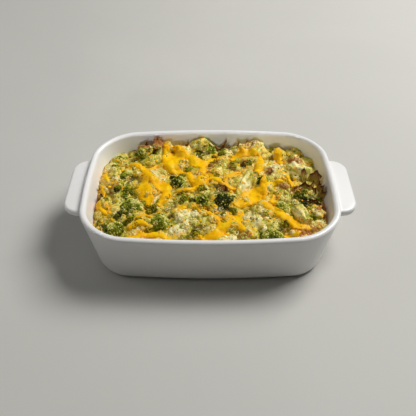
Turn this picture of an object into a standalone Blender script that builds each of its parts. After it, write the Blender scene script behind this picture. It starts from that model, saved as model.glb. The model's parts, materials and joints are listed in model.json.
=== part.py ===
"""Broccoli and cheddar casserole, baked in its white ceramic dish.

Metres, +Z up. The origin is the middle of the dish's flat base, +X runs from
one handle to the other and -Y is the front. The dish is one piece with its two
tab handles. The casserole is one baked mass with its smaller lumps and its
cheddar shreds fused on. The larger florets, stalk chunks and crisp leaves sit
in pockets of it, each as a piece of its own.
"""

import math
import random

import bmesh
import bpy
from mathutils import Matrix, Vector, noise

MM = 0.001
GAP = 0.35 * MM

# Dish, outside
DISH_HEIGHT = 55 * MM
RIM_HALF_LENGTH = 120 * MM
RIM_HALF_WIDTH = 82.3 * MM
RIM_CORNER = 40 * MM
RIM_BOW = 7.8 * MM
FOOT_HALF_LENGTH = 106 * MM
FOOT_HALF_WIDTH = 78.1 * MM
FOOT_CORNER = 27 * MM
FOOT_BOW = 5.6 * MM
END_BOW_SHARE = 0.6
FOOT_ROUND = 6 * MM

# Dish, inside
WALL = 6 * MM
FLOOR = 6 * MM
INNER_ROUND = 12 * MM

# Steps of the dish's outline and of its rounded edges
CORNER_STEPS = 6
LONG_SIDE_STEPS = 5
SHORT_SIDE_STEPS = 3
ROUND_STEPS = 3
RIM_STEPS = 4

# Handles
HANDLE_REACH = 136 * MM
HANDLE_ROOT = 114.2 * MM
HANDLE_HALF_WIDTH = 37.5 * MM
HANDLE_TOP = 49 * MM
HANDLE_THICKNESS = 6.8 * MM
HANDLE_CORNER = 15 * MM
HANDLE_EDGE = 2.6 * MM

# Baked surface, with its broad swells as (x, y, reach, height) in millimetres
CAVITY_HALF_LENGTH = 113.5 * MM
CAVITY_HALF_WIDTH = 75.5 * MM
EDGE_HEIGHT = 36 * MM
CROWN_HEIGHT = 42 * MM
SURFACE_CELL = 13 * MM
CRAG_HEIGHT = 1.6 * MM
CRAG_LENGTH = 17 * MM
SWELLS = (
    (-90, 22, 20, 4.5),
    (60, 22, 22, 3.5),
    (42, 58, 15, 4),
    (-17, 58, 14, 4),
    (-56, 52, 14, 3.5),
    (-20, -38, 22, 3),
    (48, -42, 22, 3),
    (-76, -40, 18, 3),
    (8, 8, 24, 2.5),
    (96, -34, 12, 2.5),
    (-84, 50, 14, -6),
    (-70, 64, 8, -3),
    (96, 50, 9, -3),
)

# Fused lumps, spread by a seeded rule
LUMP_SEED = 7
LUMP_COUNT = 37
LUMP_TRIES = 3000
LUMP_SPACING = 15 * MM
LUMP_RADIUS = (7 * MM, 11.5 * MM)
LUMP_CROWDING = 0.85
LUMP_SINK = 0.35
LUMP_FLATNESS = 0.8
LUMP_DENT = 0.16
TALLEST = 49.8 * MM

# Pieces of their own: florets as (x, y, radius, rise, lean heading in degrees),
# with rise the height of the crown's middle above the baked surface, in millimetres
FLORETS = (
    (-30, 9, 9, 1.0, 250),
    (-8.5, -18, 9, 1.5, 200),
    (13.5, -16, 10.5, 1.0, 300),
    (-73, -25, 13, 0.0, 280),
    (-85, -53, 8.5, 1.0, 260),
    (-1.5, 62, 8.5, 0.5, 80),
    (-67, 55, 8.5, 0.0, 120),
    (55, -63, 10.5, 0.0, 280),
    (-46, -45, 9.5, 0.5, 270),
    (66, -27, 8.5, 1.0, 330),
    (52.5, 10, 7, 0.5, 40),
)
CROWN_LOBES = 11
CROWN_SEGMENTS = 12
CROWN_RINGS = 8
LOBE_DEPTH = 0.2
LOBE_WIDTH = 0.55
CROWN_LEAN = math.radians(18)

# Stalk chunks as (x, y, length, radius, heading, tilt, rise), in millimetres and degrees
STALKS = (
    (35, 8, 34, 6.0, 62, -6, 3.0),
    (38, 60, 26, 8.5, 8, 4, 1.0),
    (90, 28, 24, 7.5, -28, -4, 2.5),
    (-24, 60, 22, 6.5, 60, 10, 0.5),
    (-50, 60, 16, 6.0, 80, 40, 0.5),
    (85, -35, 22, 5.5, 105, 8, 2.0),
)
STALK_SEGMENTS = 10
STALK_CUT_EDGE = 0.22
STALK_RIB = 0.1
STALK_BRANCH_SWELL = 0.22

# Crisp leaves as (x, y, length, height, heading, lean), in millimetres and degrees
LEAVES = (
    (99, 4, 18, 12, -62, 16),
    (98, -14, 17, 10, -20, 24),
)
LEAF_THICKNESS = 1.6 * MM
LEAF_WAVE = 1.8 * MM
LEAF_COLUMNS = 8
LEAF_ROWS = 4
LEAF_SINK = 0.45
LEAF_TEETH = 3.5

# Cheddar shreds, each from its start through a bend to its end, in millimetres
SHREDS = (
    ((-84, 31), (-72, 29), (-62, 21)),
    ((-46, 60), (-44, 44), (-41, 27)),
    ((-24, 46), (-12, 34), (6, 41)),
    ((-33, 25), (-20, 18), (-10, 3)),
    ((-72, 4), (-62, -8), (-58, -22)),
    ((-52, 1), (-44, -4), (-36, -6)),
    ((-92, -68), (-66, -66), (-39, -64)),
    ((-23, -10), (-17, -3), (-11, -5)),
    ((-38, -33), (-33, -31), (-28, -30)),
    ((-10, -66), (5, -64), (15, -50)),
    ((-105, 2), (-104, -4), (-102, -9)),
    ((-107, -20), (-103, -28), (-97, -36)),
    ((-59, 33), (-58, 26), (-55, 18)),
    ((22, 40), (32, 47), (46, 46)),
    ((13, 6), (17, 14), (28, 20)),
    ((-11, 14), (4, 14), (18, -2)),
    ((46, 36), (49, 29), (48, 21)),
    ((67, 52), (70, 44), (72, 35)),
    ((35, -4), (46, 1), (51, -14)),
    ((54, -6), (62, 1), (70, 2)),
    ((72, 14), (78, 8), (81, 3)),
    ((23, -25), (35, -20), (48, -25)),
    ((49, -29), (66, -46), (85, -55)),
    ((-8, -34), (6, -46), (34, -36)),
    ((19, -47), (24, -53), (28, -59)),
    ((-6, -74), (2, -75), (8, -74)),
    ((-56, 12), (-52, 10), (-49, 14)),
    ((-52, -16), (-46, -20), (-40, -27)),
    ((84, -60), (90, -54), (98, -50)),
    ((-36, 44), (-32, 38), (-30, 34)),
)
SHRED_RADIUS = 2.1 * MM
SHRED_RISE = 0.5 * MM
SHRED_POINTS = 5
SHRED_TIP = 0.55

# Colours as linear red, green, blue with a roughness
GLAZE = ((0.80, 0.79, 0.77), 0.22)
BAKED_CUSTARD = ((0.60, 0.42, 0.10), 0.5)
FLORET_GREEN = ((0.09, 0.13, 0.02), 0.6)
STALK_GREEN = ((0.50, 0.47, 0.15), 0.45)
CRISP_BROWN = ((0.17, 0.10, 0.03), 0.6)


def clear_scene():
    """Take away every object, so that the scene holds only this one."""
    for thing in list(bpy.data.objects):
        bpy.data.objects.remove(thing)


def mix(low, high, share):
    """The value that lies this share of the way from low to high."""
    return low + (high - low) * share


def make_collection(name, shown=True):
    """A collection in the scene; one that isn't shown holds helpers."""
    collection = bpy.data.collections.new(name)
    collection.hide_render = not shown
    bpy.context.scene.collection.children.link(collection)
    return collection


def make_material(name, finish):
    """A Principled material of one colour and roughness."""
    colour, roughness = finish
    material = bpy.data.materials.new(name)
    material.use_nodes = True
    shader = material.node_tree.nodes["Principled BSDF"]
    shader.inputs["Base Color"].default_value = (*colour, 1)
    shader.inputs["Roughness"].default_value = roughness
    shader.inputs["Metallic"].default_value = 0
    return material


def make_object(name, shape, collection, material=None):
    """An object from a bmesh, which is freed."""
    mesh = bpy.data.meshes.new(name)
    shape.to_mesh(mesh)
    shape.free()
    made = bpy.data.objects.new(name, mesh)
    if material:
        mesh.materials.append(material)
    collection.objects.link(made)
    return made


def as_helper(thing):
    """Mark an object as a cutter or an operand, which isn't part of the model."""
    thing.hide_render = True
    thing.display_type = "WIRE"
    return thing


def evaluated_mesh(thing):
    """The mesh of an object with its modifiers, as new mesh data."""
    graph = bpy.context.evaluated_depsgraph_get()
    return bpy.data.meshes.new_from_object(thing.evaluated_get(graph))


def apply_boolean(thing, operation, collection):
    """Join to an object, or cut from it, all that a collection holds, and remove those."""
    modifier = thing.modifiers.new(operation.title(), "BOOLEAN")
    modifier.operation = operation
    modifier.solver = "EXACT"
    modifier.operand_type = "COLLECTION"
    modifier.collection = collection
    result = evaluated_mesh(thing)
    thing.modifiers.clear()
    thing.data = result
    for used in list(collection.objects):
        bpy.data.objects.remove(used)
    bpy.data.collections.remove(collection)


def wall_outline(height, inset):
    """The dish's outer outline at a height, moved in by inset, as (x, y) points.

    It is a rounded rectangle whose four sides bow outwards.
    """
    up = height / DISH_HEIGHT
    half_length = mix(FOOT_HALF_LENGTH, RIM_HALF_LENGTH, up) - inset
    half_width = mix(FOOT_HALF_WIDTH, RIM_HALF_WIDTH, up) - inset
    corner = mix(FOOT_CORNER, RIM_CORNER, up) - inset
    bow = mix(FOOT_BOW, RIM_BOW, up)
    plain = []
    for quadrant in range(4):
        side_x = 1 if quadrant in (0, 3) else -1
        side_y = 1 if quadrant in (0, 1) else -1
        middle = Vector((side_x * (half_length - corner), side_y * (half_width - corner)))
        for step in range(CORNER_STEPS + 1):
            angle = math.radians(90 * (quadrant + step / CORNER_STEPS))
            plain.append(middle + corner * Vector((math.cos(angle), math.sin(angle))))
        steps = SHORT_SIDE_STEPS if quadrant % 2 else LONG_SIDE_STEPS
        mirrored = Vector((1, -1)) if quadrant % 2 else Vector((-1, 1))
        start = plain[-1]
        end = Vector((start.x * mirrored.x, start.y * mirrored.y))
        plain.extend(start.lerp(end, step / steps) for step in range(1, steps))
    outline = []
    for point in plain:
        along, across = point.x / half_length, point.y / half_width
        outline.append(
            (
                point.x - END_BOW_SHARE * bow * along * across**2,
                point.y - bow * across * along**2,
            )
        )
    return outline


def ring(height, inset):
    """The outline at this height and inset, as points in space."""
    return [Vector((x, y, height)) for x, y in wall_outline(height, inset)]


def loft(rings):
    """A closed bmesh through a stack of rings: the cap of a circle, extruded from ring to ring."""
    shape = bmesh.new()
    bmesh.ops.create_circle(shape, cap_ends=True, radius=RIM_HALF_WIDTH, segments=len(rings[0]))
    shape.faces.ensure_lookup_table()
    cap = shape.faces[0]
    for level, points in enumerate(rings):
        if level:
            geometry = [cap, *cap.edges, *cap.verts]
            made = bmesh.ops.extrude_face_region(shape, geom=geometry, use_keep_orig=level == 1)
            cap = next(item for item in made["geom"] if isinstance(item, bmesh.types.BMFace))
        for vertex, point in zip(cap.verts, points):
            vertex.co = point
    bmesh.ops.recalc_face_normals(shape, faces=shape.faces)
    return shape


def quarter_turn(steps):
    """Shares of sine and cosine over a quarter turn, ends included."""
    angles = (math.pi / 2 * step / steps for step in range(steps + 1))
    return [(math.sin(angle), math.cos(angle)) for angle in angles]


def inner_rings(gap):
    """Rings down the inside of the dish to its floor, held off it by gap."""
    radius = INNER_ROUND - gap
    rings = []
    for across, down in reversed(quarter_turn(ROUND_STEPS)):
        height = FLOOR + INNER_ROUND - radius * down
        rings.append(ring(height, WALL + INNER_ROUND - radius * across))
    return rings


def dish_shape():
    """The dish without handles: rounded foot, flared wall, rounded rim and hollow inside."""
    rings = [
        ring(FOOT_ROUND * (1 - cos), FOOT_ROUND * (1 - sin))
        for sin, cos in quarter_turn(ROUND_STEPS)
    ]
    rim = WALL / 2
    for step in range(2 * RIM_STEPS + 1):
        angle = math.pi / 2 * step / RIM_STEPS
        height = DISH_HEIGHT - rim + rim * math.sin(angle)
        rings.append(ring(height, rim - rim * math.cos(angle)))
    rings.extend(inner_rings(0))
    return loft(rings)


def handle_shape(side):
    """A flat tab with rounded corners and edges, whose root stays inside the wall."""
    length = HANDLE_REACH - HANDLE_ROOT
    middle = Vector((side * (HANDLE_REACH + HANDLE_ROOT) / 2, 0, HANDLE_TOP - HANDLE_THICKNESS / 2))
    size = Vector((length, 2 * HANDLE_HALF_WIDTH, HANDLE_THICKNESS))
    shape = bmesh.new()
    bmesh.ops.create_cube(shape, size=1, matrix=Matrix.LocRotScale(middle, None, size))
    upright = [
        edge
        for edge in shape.edges
        if all(abs(vertex.co.x) > abs(middle.x) for vertex in edge.verts)
        and abs(edge.verts[0].co.z - edge.verts[1].co.z) > HANDLE_EDGE
    ]
    bmesh.ops.bevel(
        shape, geom=upright, offset=HANDLE_CORNER, segments=5, affect="EDGES", profile=0.5, material=-1
    )
    root = abs(HANDLE_ROOT) + HANDLE_EDGE
    level = [
        edge
        for edge in shape.edges
        if abs(edge.verts[0].co.z - edge.verts[1].co.z) < HANDLE_EDGE
        and any(abs(vertex.co.x) > root for vertex in edge.verts)
    ]
    bmesh.ops.bevel(
        shape, geom=level, offset=HANDLE_EDGE, segments=2, affect="EDGES", profile=0.5, material=-1
    )
    bmesh.ops.recalc_face_normals(shape, faces=shape.faces)
    return shape


def make_dish(parts):
    """The dish and its two handles as one piece of ceramic."""
    dish = make_object("dish", dish_shape(), parts, make_material("glaze", GLAZE))
    tabs = make_collection("handle tabs", shown=False)
    for side in (-1, 1):
        as_helper(make_object("handle", handle_shape(side), tabs))
    apply_boolean(dish, "UNION", tabs)
    dish.data.shade_smooth()
    return dish


def surface(x, y):
    """Height of the baked surface: low at the wall, mounded, with swells and crags."""
    level = (x / CAVITY_HALF_LENGTH) ** 4 + (y / CAVITY_HALF_WIDTH) ** 4
    height = mix(CROWN_HEIGHT, EDGE_HEIGHT, min(level, 1))
    for swell_x, swell_y, reach, rise in SWELLS:
        away = math.hypot(x - swell_x * MM, y - swell_y * MM) / (reach * MM)
        height += rise * MM * math.exp(-away * away)
    return height + CRAG_HEIGHT * noise.noise(Vector((x, y, 0)) / CRAG_LENGTH)


def piece_spots():
    """Middle and reach of each piece that sits in a pocket, which the lumps keep clear of."""
    spots = [(x * MM, y * MM, radius * MM) for x, y, radius, *_ in FLORETS]
    spots.extend((x * MM, y * MM, length * MM / 2) for x, y, length, *_ in STALKS + LEAVES)
    return spots


def lumps():
    """The fused lumps as (x, y, radius), spread by a seeded draw that keeps them apart."""
    draw = random.Random(LUMP_SEED)
    taken = piece_spots()
    found = []
    for _ in range(LUMP_TRIES):
        if len(found) == LUMP_COUNT:
            break
        x = draw.uniform(-1, 1) * (CAVITY_HALF_LENGTH - LUMP_RADIUS[0])
        y = draw.uniform(-1, 1) * (CAVITY_HALF_WIDTH - LUMP_RADIUS[0])
        radius = draw.uniform(*LUMP_RADIUS)
        clear = all(
            math.hypot(x - other_x, y - other_y) > max(LUMP_SPACING, LUMP_CROWDING * (radius + reach))
            for other_x, other_y, reach in taken
        )
        if clear:
            found.append((x, y, radius))
            taken.append((x, y, radius))
    return found


def lump_middle(x, y, radius):
    """Height of a lump's middle, sunk in the surface and kept under the tallest point."""
    lowest_top = TALLEST - LUMP_FLATNESS * radius * (1 + LUMP_DENT)
    return min(surface(x, y) - LUMP_SINK * radius, lowest_top)


def ground(x, y, knobs):
    """Height of the surface or of the lump on it at this place."""
    height = surface(x, y)
    for lump_x, lump_y, radius in knobs:
        away = math.hypot(x - lump_x, y - lump_y) / radius
        if away < 1:
            dome = LUMP_FLATNESS * radius * math.sqrt(1 - away * away)
            height = max(height, lump_middle(lump_x, lump_y, radius) + dome)
    return height


def slab_shape():
    """A block under the baked surface, wider than the dish, which the dish's hollow then trims."""
    half_length = RIM_HALF_LENGTH
    half_width = RIM_HALF_WIDTH
    shape = bmesh.new()
    bmesh.ops.create_grid(
        shape,
        x_segments=round(2 * half_length / SURFACE_CELL),
        y_segments=round(2 * half_width / SURFACE_CELL),
        size=1,
        matrix=Matrix.Diagonal((half_length, half_width, 1, 1)),
    )
    made = bmesh.ops.extrude_face_region(shape, geom=shape.faces[:], use_keep_orig=True)
    top = {item for item in made["geom"] if isinstance(item, bmesh.types.BMVert)}
    for vertex in shape.verts:
        vertex.co.z = surface(vertex.co.x, vertex.co.y) if vertex in top else 0
    bmesh.ops.triangulate(shape, faces=[face for face in shape.faces if face.verts[0] in top])
    bmesh.ops.recalc_face_normals(shape, faces=shape.faces)
    return shape


def plug_shape():
    """The hollow of the dish, less the gap, up to the rim."""
    rings = [ring(DISH_HEIGHT, WALL + GAP)]
    rings.extend(inner_rings(GAP))
    return loft(rings)


def lump_shape(x, y, radius):
    """A knob of coated broccoli: a small icosphere, flattened and dented."""
    shape = bmesh.new()
    bmesh.ops.create_icosphere(shape, subdivisions=2, radius=1)
    middle = Vector((x, y, lump_middle(x, y, radius)))
    for vertex in shape.verts:
        dent = 1 + LUMP_DENT * noise.noise(vertex.co * 1.3 + middle / LUMP_RADIUS[0])
        vertex.co = middle + Vector((1, 1, LUMP_FLATNESS)) * radius * dent * vertex.co
    return shape


def shred_object(route, knobs, collection):
    """A melted cheddar shred: a round curve that drapes over the surface, tapered at its ends."""
    start, bend, end = (Vector(point) * MM for point in route)
    control = 2 * bend - (start + end) / 2
    curve = bpy.data.curves.new("shred", "CURVE")
    curve.dimensions = "3D"
    curve.bevel_depth = SHRED_RADIUS
    curve.bevel_resolution = 1
    curve.use_fill_caps = True
    spline = curve.splines.new("POLY")
    spline.points.add(SHRED_POINTS - 1)
    for index, point in enumerate(spline.points):
        share = index / (SHRED_POINTS - 1)
        place = start.lerp(control, share).lerp(control.lerp(end, share), share)
        point.co = (*place, ground(place.x, place.y, knobs) + SHRED_RISE, 1)
        point.radius = mix(SHRED_TIP, 1, math.sin(math.pi * share) ** 0.6)
    guide = bpy.data.objects.new("shred curve", curve)
    collection.objects.link(guide)
    shape = bmesh.new()
    shape.from_mesh(evaluated_mesh(guide))
    bmesh.ops.remove_doubles(shape, verts=shape.verts, dist=0.01 * MM)
    bpy.data.objects.remove(guide)
    return as_helper(make_object("shred", shape, collection))


def split_quads(shape):
    """Triangles in place of quads, split the same way in a piece and in its pocket."""
    bmesh.ops.triangulate(shape, faces=shape.faces, quad_method="FIXED")


def lobe_directions():
    """Directions of the bud clusters, spread over a crown's top and sides."""
    golden = math.pi * (3 - math.sqrt(5))
    directions = []
    for index in range(CROWN_LOBES):
        up = 1 - 1.15 * index / (CROWN_LOBES - 1)
        flat = math.sqrt(1 - up * up)
        directions.append(Vector((flat * math.cos(golden * index), flat * math.sin(golden * index), up)))
    return directions


def floret_shape(index, grow):
    """A broccoli crown of bud clusters over a tapering stem, made larger all round by grow."""
    x, y, radius, rise, heading = FLORETS[index]
    radius *= MM
    centre = Vector((x * MM, y * MM, surface(x * MM, y * MM) + rise * MM))
    centre.z = min(centre.z, TALLEST - radius)
    lean = Matrix.Rotation(math.radians(heading), 3, "Z") @ Matrix.Rotation(CROWN_LEAN, 3, "Y")
    lobes = lobe_directions()
    shape = bmesh.new()
    bmesh.ops.create_uvsphere(shape, u_segments=CROWN_SEGMENTS, v_segments=CROWN_RINGS, radius=1)
    split_quads(shape)
    for vertex in shape.verts:
        way = vertex.co.normalized()
        nearest = min((way - lobe).length for lobe in lobes)
        lobed = 1 - LOBE_DEPTH * min(nearest / LOBE_WIDTH, 1) ** 2
        stem = 1 - 0.45 * max(-way.z - 0.25, 0)
        vertex.co = centre + lean @ (way * (radius * lobed * stem + grow))
    return shape


def stalk_shape(index, grow):
    """A cut length of stalk, ribbed and wider at the end where it branched, larger by grow."""
    x, y, length, radius, heading, tilt, rise = STALKS[index]
    length, radius, slope = length * MM, radius * MM, math.radians(tilt)
    widest = radius * (1 + STALK_RIB + STALK_BRANCH_SWELL / 2)
    reach_up = widest * math.cos(slope) + length / 2 * abs(math.sin(slope))
    height = min(surface(x * MM, y * MM) + rise * MM, TALLEST - reach_up)
    centre = Vector((x * MM, y * MM, height))
    turn = Matrix.Rotation(math.radians(heading), 3, "Z") @ Matrix.Rotation(math.pi / 2 + slope, 3, "Y")
    shape = bmesh.new()
    bmesh.ops.create_cone(
        shape, cap_ends=True, segments=STALK_SEGMENTS, radius1=radius, radius2=radius, depth=length
    )
    around = [edge for edge in shape.edges if abs(edge.verts[0].co.z - edge.verts[1].co.z) < GAP]
    bmesh.ops.bevel(
        shape,
        geom=around,
        offset=STALK_CUT_EDGE * radius,
        segments=1,
        affect="EDGES",
        profile=0.5,
        material=-1,
    )
    split_quads(shape)
    for vertex in shape.verts:
        share = vertex.co.z / length
        angle = math.atan2(vertex.co.y, vertex.co.x)
        wide = 1 + STALK_BRANCH_SWELL * share + STALK_RIB * math.cos(5 * angle + index)
        flat = Vector((vertex.co.x, vertex.co.y, 0)) * wide
        out = flat.normalized() * grow
        end = math.copysign(grow, share)
        vertex.co = centre + turn @ (flat + out + Vector((0, 0, vertex.co.z + end)))
    return shape


def leaf_shape(index, grow):
    """A thin wavy leaf on its edge, with a toothed upper side and both faces split alike."""
    x, y, length, height, heading, lean = LEAVES[index]
    length, height = length * MM, height * MM
    foot = Vector((x * MM, y * MM, surface(x * MM, y * MM)))
    turn = Matrix.Rotation(math.radians(heading), 3, "Z") @ Matrix.Rotation(math.radians(lean), 3, "X")
    shape = bmesh.new()
    bmesh.ops.create_grid(shape, x_segments=LEAF_COLUMNS, y_segments=LEAF_ROWS, size=0.5)
    split_quads(shape)
    bmesh.ops.solidify(shape, geom=shape.faces, thickness=LEAF_THICKNESS)
    for vertex in shape.verts:
        across = math.copysign(LEAF_THICKNESS / 2 + grow, vertex.co.z)
        along, up = vertex.co.x, vertex.co.y + 0.5
        teeth = 1 - 0.28 * abs(math.sin(math.pi * LEAF_TEETH * along + index)) * up
        narrow = 1 - 0.3 * (1 - up)
        wave = LEAF_WAVE * math.sin(2 * math.pi * along + index)
        place = Vector(
            (
                along * narrow * (length + 2 * grow),
                wave + across,
                (up * teeth - LEAF_SINK) * (height + 2 * grow),
            )
        )
        vertex.co = foot + turn @ place
    if shape.calc_volume(signed=True) < 0:
        bmesh.ops.reverse_faces(shape, faces=shape.faces)
    return shape


def keep_main_body(thing):
    """Drop the loose scraps that the cuts left, and fill any hollow that the joining sealed."""
    shape = bmesh.new()
    shape.from_mesh(thing.data)
    unseen = set(shape.verts)
    bodies = []
    while unseen:
        body, edge_of_body = set(), {next(iter(unseen))}
        while edge_of_body:
            body |= edge_of_body
            edge_of_body = {
                edge.other_vert(vertex) for vertex in edge_of_body for edge in vertex.link_edges
            } - body
        unseen -= body
        bodies.append(body)
    main = max(bodies, key=len)
    bmesh.ops.delete(shape, geom=[v for v in shape.verts if v not in main], context="VERTS")
    shape.to_mesh(thing.data)
    shape.free()


def make_pieces(parts):
    """Florets, stalk chunks and leaves, and a collection of the pockets that they sit in."""
    pockets = make_collection("pockets", shown=False)
    kinds = (
        ("floret", FLORETS, floret_shape, make_material("broccoli floret", FLORET_GREEN)),
        ("stalk", STALKS, stalk_shape, make_material("broccoli stalk", STALK_GREEN)),
        ("leaf", LEAVES, leaf_shape, make_material("crisp leaf", CRISP_BROWN)),
    )
    for name, rows, shape_of, material in kinds:
        for index in range(len(rows)):
            piece = make_object(f"{name}_{index + 1:02d}", shape_of(index, 0), parts, material)
            piece.data.shade_smooth()
            as_helper(make_object(f"{name} pocket", shape_of(index, 1.6 * GAP), pockets))
    return pockets


def make_casserole(parts, pockets):
    """The baked mass with its lumps and shreds fused on, trimmed to the dish, with its pockets."""
    knobs = lumps()
    casserole = make_object("casserole", slab_shape(), parts, make_material("baked custard", BAKED_CUSTARD))
    fused = make_collection("fused lumps and shreds", shown=False)
    for x, y, radius in knobs:
        as_helper(make_object("lump", lump_shape(x, y, radius), fused))
    for route in SHREDS:
        shred_object(route, knobs, fused)
    apply_boolean(casserole, "UNION", fused)
    hollow = make_collection("hollow of the dish", shown=False)
    as_helper(make_object("plug", plug_shape(), hollow))
    apply_boolean(casserole, "INTERSECT", hollow)
    apply_boolean(casserole, "DIFFERENCE", pockets)
    keep_main_body(casserole)
    return casserole


def main():
    """Build the dish, the pieces that lie in the casserole, and the casserole round them."""
    clear_scene()
    parts = make_collection("broccoli cheese casserole")
    make_dish(parts)
    pockets = make_pieces(parts)
    make_casserole(parts, pockets)


main()
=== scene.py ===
"""Looks of the broccoli and cheddar casserole in its white ceramic baking dish.

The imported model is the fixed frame: metres, +Z up, the origin in the middle of
the dish's base, +X from handle to handle and -Y the front. The dish, the baked
mass, the florets, the stalk chunks and the first two leaves replace the solid
of that name and keep its form. Everything else lies on them.
"""

from __future__ import annotations

import json
import logging
import math
import random
from dataclasses import dataclass, field
from enum import Enum
from typing import Callable, Iterable, Iterator, Sequence

import bmesh
import bpy
import numpy as np
from mathutils import Matrix, Vector, noise
from mathutils.bvhtree import BVHTree

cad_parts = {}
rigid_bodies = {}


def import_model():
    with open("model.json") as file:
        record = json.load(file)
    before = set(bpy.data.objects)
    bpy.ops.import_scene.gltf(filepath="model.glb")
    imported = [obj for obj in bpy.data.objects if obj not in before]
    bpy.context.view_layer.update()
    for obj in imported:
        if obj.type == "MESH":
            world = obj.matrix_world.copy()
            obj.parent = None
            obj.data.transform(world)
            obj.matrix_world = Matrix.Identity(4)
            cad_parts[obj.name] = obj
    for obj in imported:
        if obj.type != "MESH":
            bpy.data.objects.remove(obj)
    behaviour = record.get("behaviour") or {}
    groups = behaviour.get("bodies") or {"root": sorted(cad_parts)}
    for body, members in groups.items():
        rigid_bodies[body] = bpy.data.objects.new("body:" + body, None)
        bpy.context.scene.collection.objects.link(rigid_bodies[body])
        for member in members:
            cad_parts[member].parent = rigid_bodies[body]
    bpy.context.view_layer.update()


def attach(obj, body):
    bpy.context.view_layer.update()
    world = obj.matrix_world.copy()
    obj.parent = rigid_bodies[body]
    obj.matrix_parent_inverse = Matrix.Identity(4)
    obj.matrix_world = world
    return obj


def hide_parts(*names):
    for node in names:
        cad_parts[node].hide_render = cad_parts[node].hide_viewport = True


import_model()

LOG = logging.getLogger("casserole")
MM = 0.001
BODY = "root"
NOISE_SEED = 3

Colour = tuple[float, float, float]
Place = tuple[float, float]
Socket = bpy.types.NodeSocket
Material = bpy.types.Material
Shape = bmesh.types.BMesh
Mesh = bpy.types.Mesh
Thing = bpy.types.Object


class Slot(Enum):
    """The record's material slots."""

    GLAZE = "glaze"
    CUSTARD = "baked_custard"
    CHEDDAR = "cheddar"
    FLORET = "floret"
    STALK = "stalk"
    LEAF = "leaf"


def mix(low: float, high: float, share: float) -> float:
    """The value that lies this share of the way from low to high."""
    return low + (high - low) * share


def clamp(value: float, low: float = 0.0, high: float = 1.0) -> float:
    """The value, kept between low and high."""
    return max(low, min(high, value))


def ramp_up(value: float, low: float, high: float) -> float:
    """A smooth step from 0 at low to 1 at high."""
    share = clamp((value - low) / (high - low))
    return share * share * (3 - 2 * share)


def screen(red: int, green: int, blue: int) -> Colour:
    """A colour named by its 8-bit screen values, as linear light.

    Args:
        red: Red from 0 to 255.
        green: Green from 0 to 255.
        blue: Blue from 0 to 255.

    Returns:
        The linear red, green and blue.
    """
    shares = (value / 255 for value in (red, green, blue))
    linear = [s / 12.92 if s <= 0.04045 else ((s + 0.055) / 1.055) ** 2.4 for s in shares]
    return linear[0], linear[1], linear[2]


def tones(*rows: tuple[float, int, int, int]) -> tuple[tuple[float, Colour], ...]:
    """Stops of a colour ramp, from rows of a position and its 8-bit screen values."""
    return tuple((position, screen(*values)) for position, *values in rows)


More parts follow.
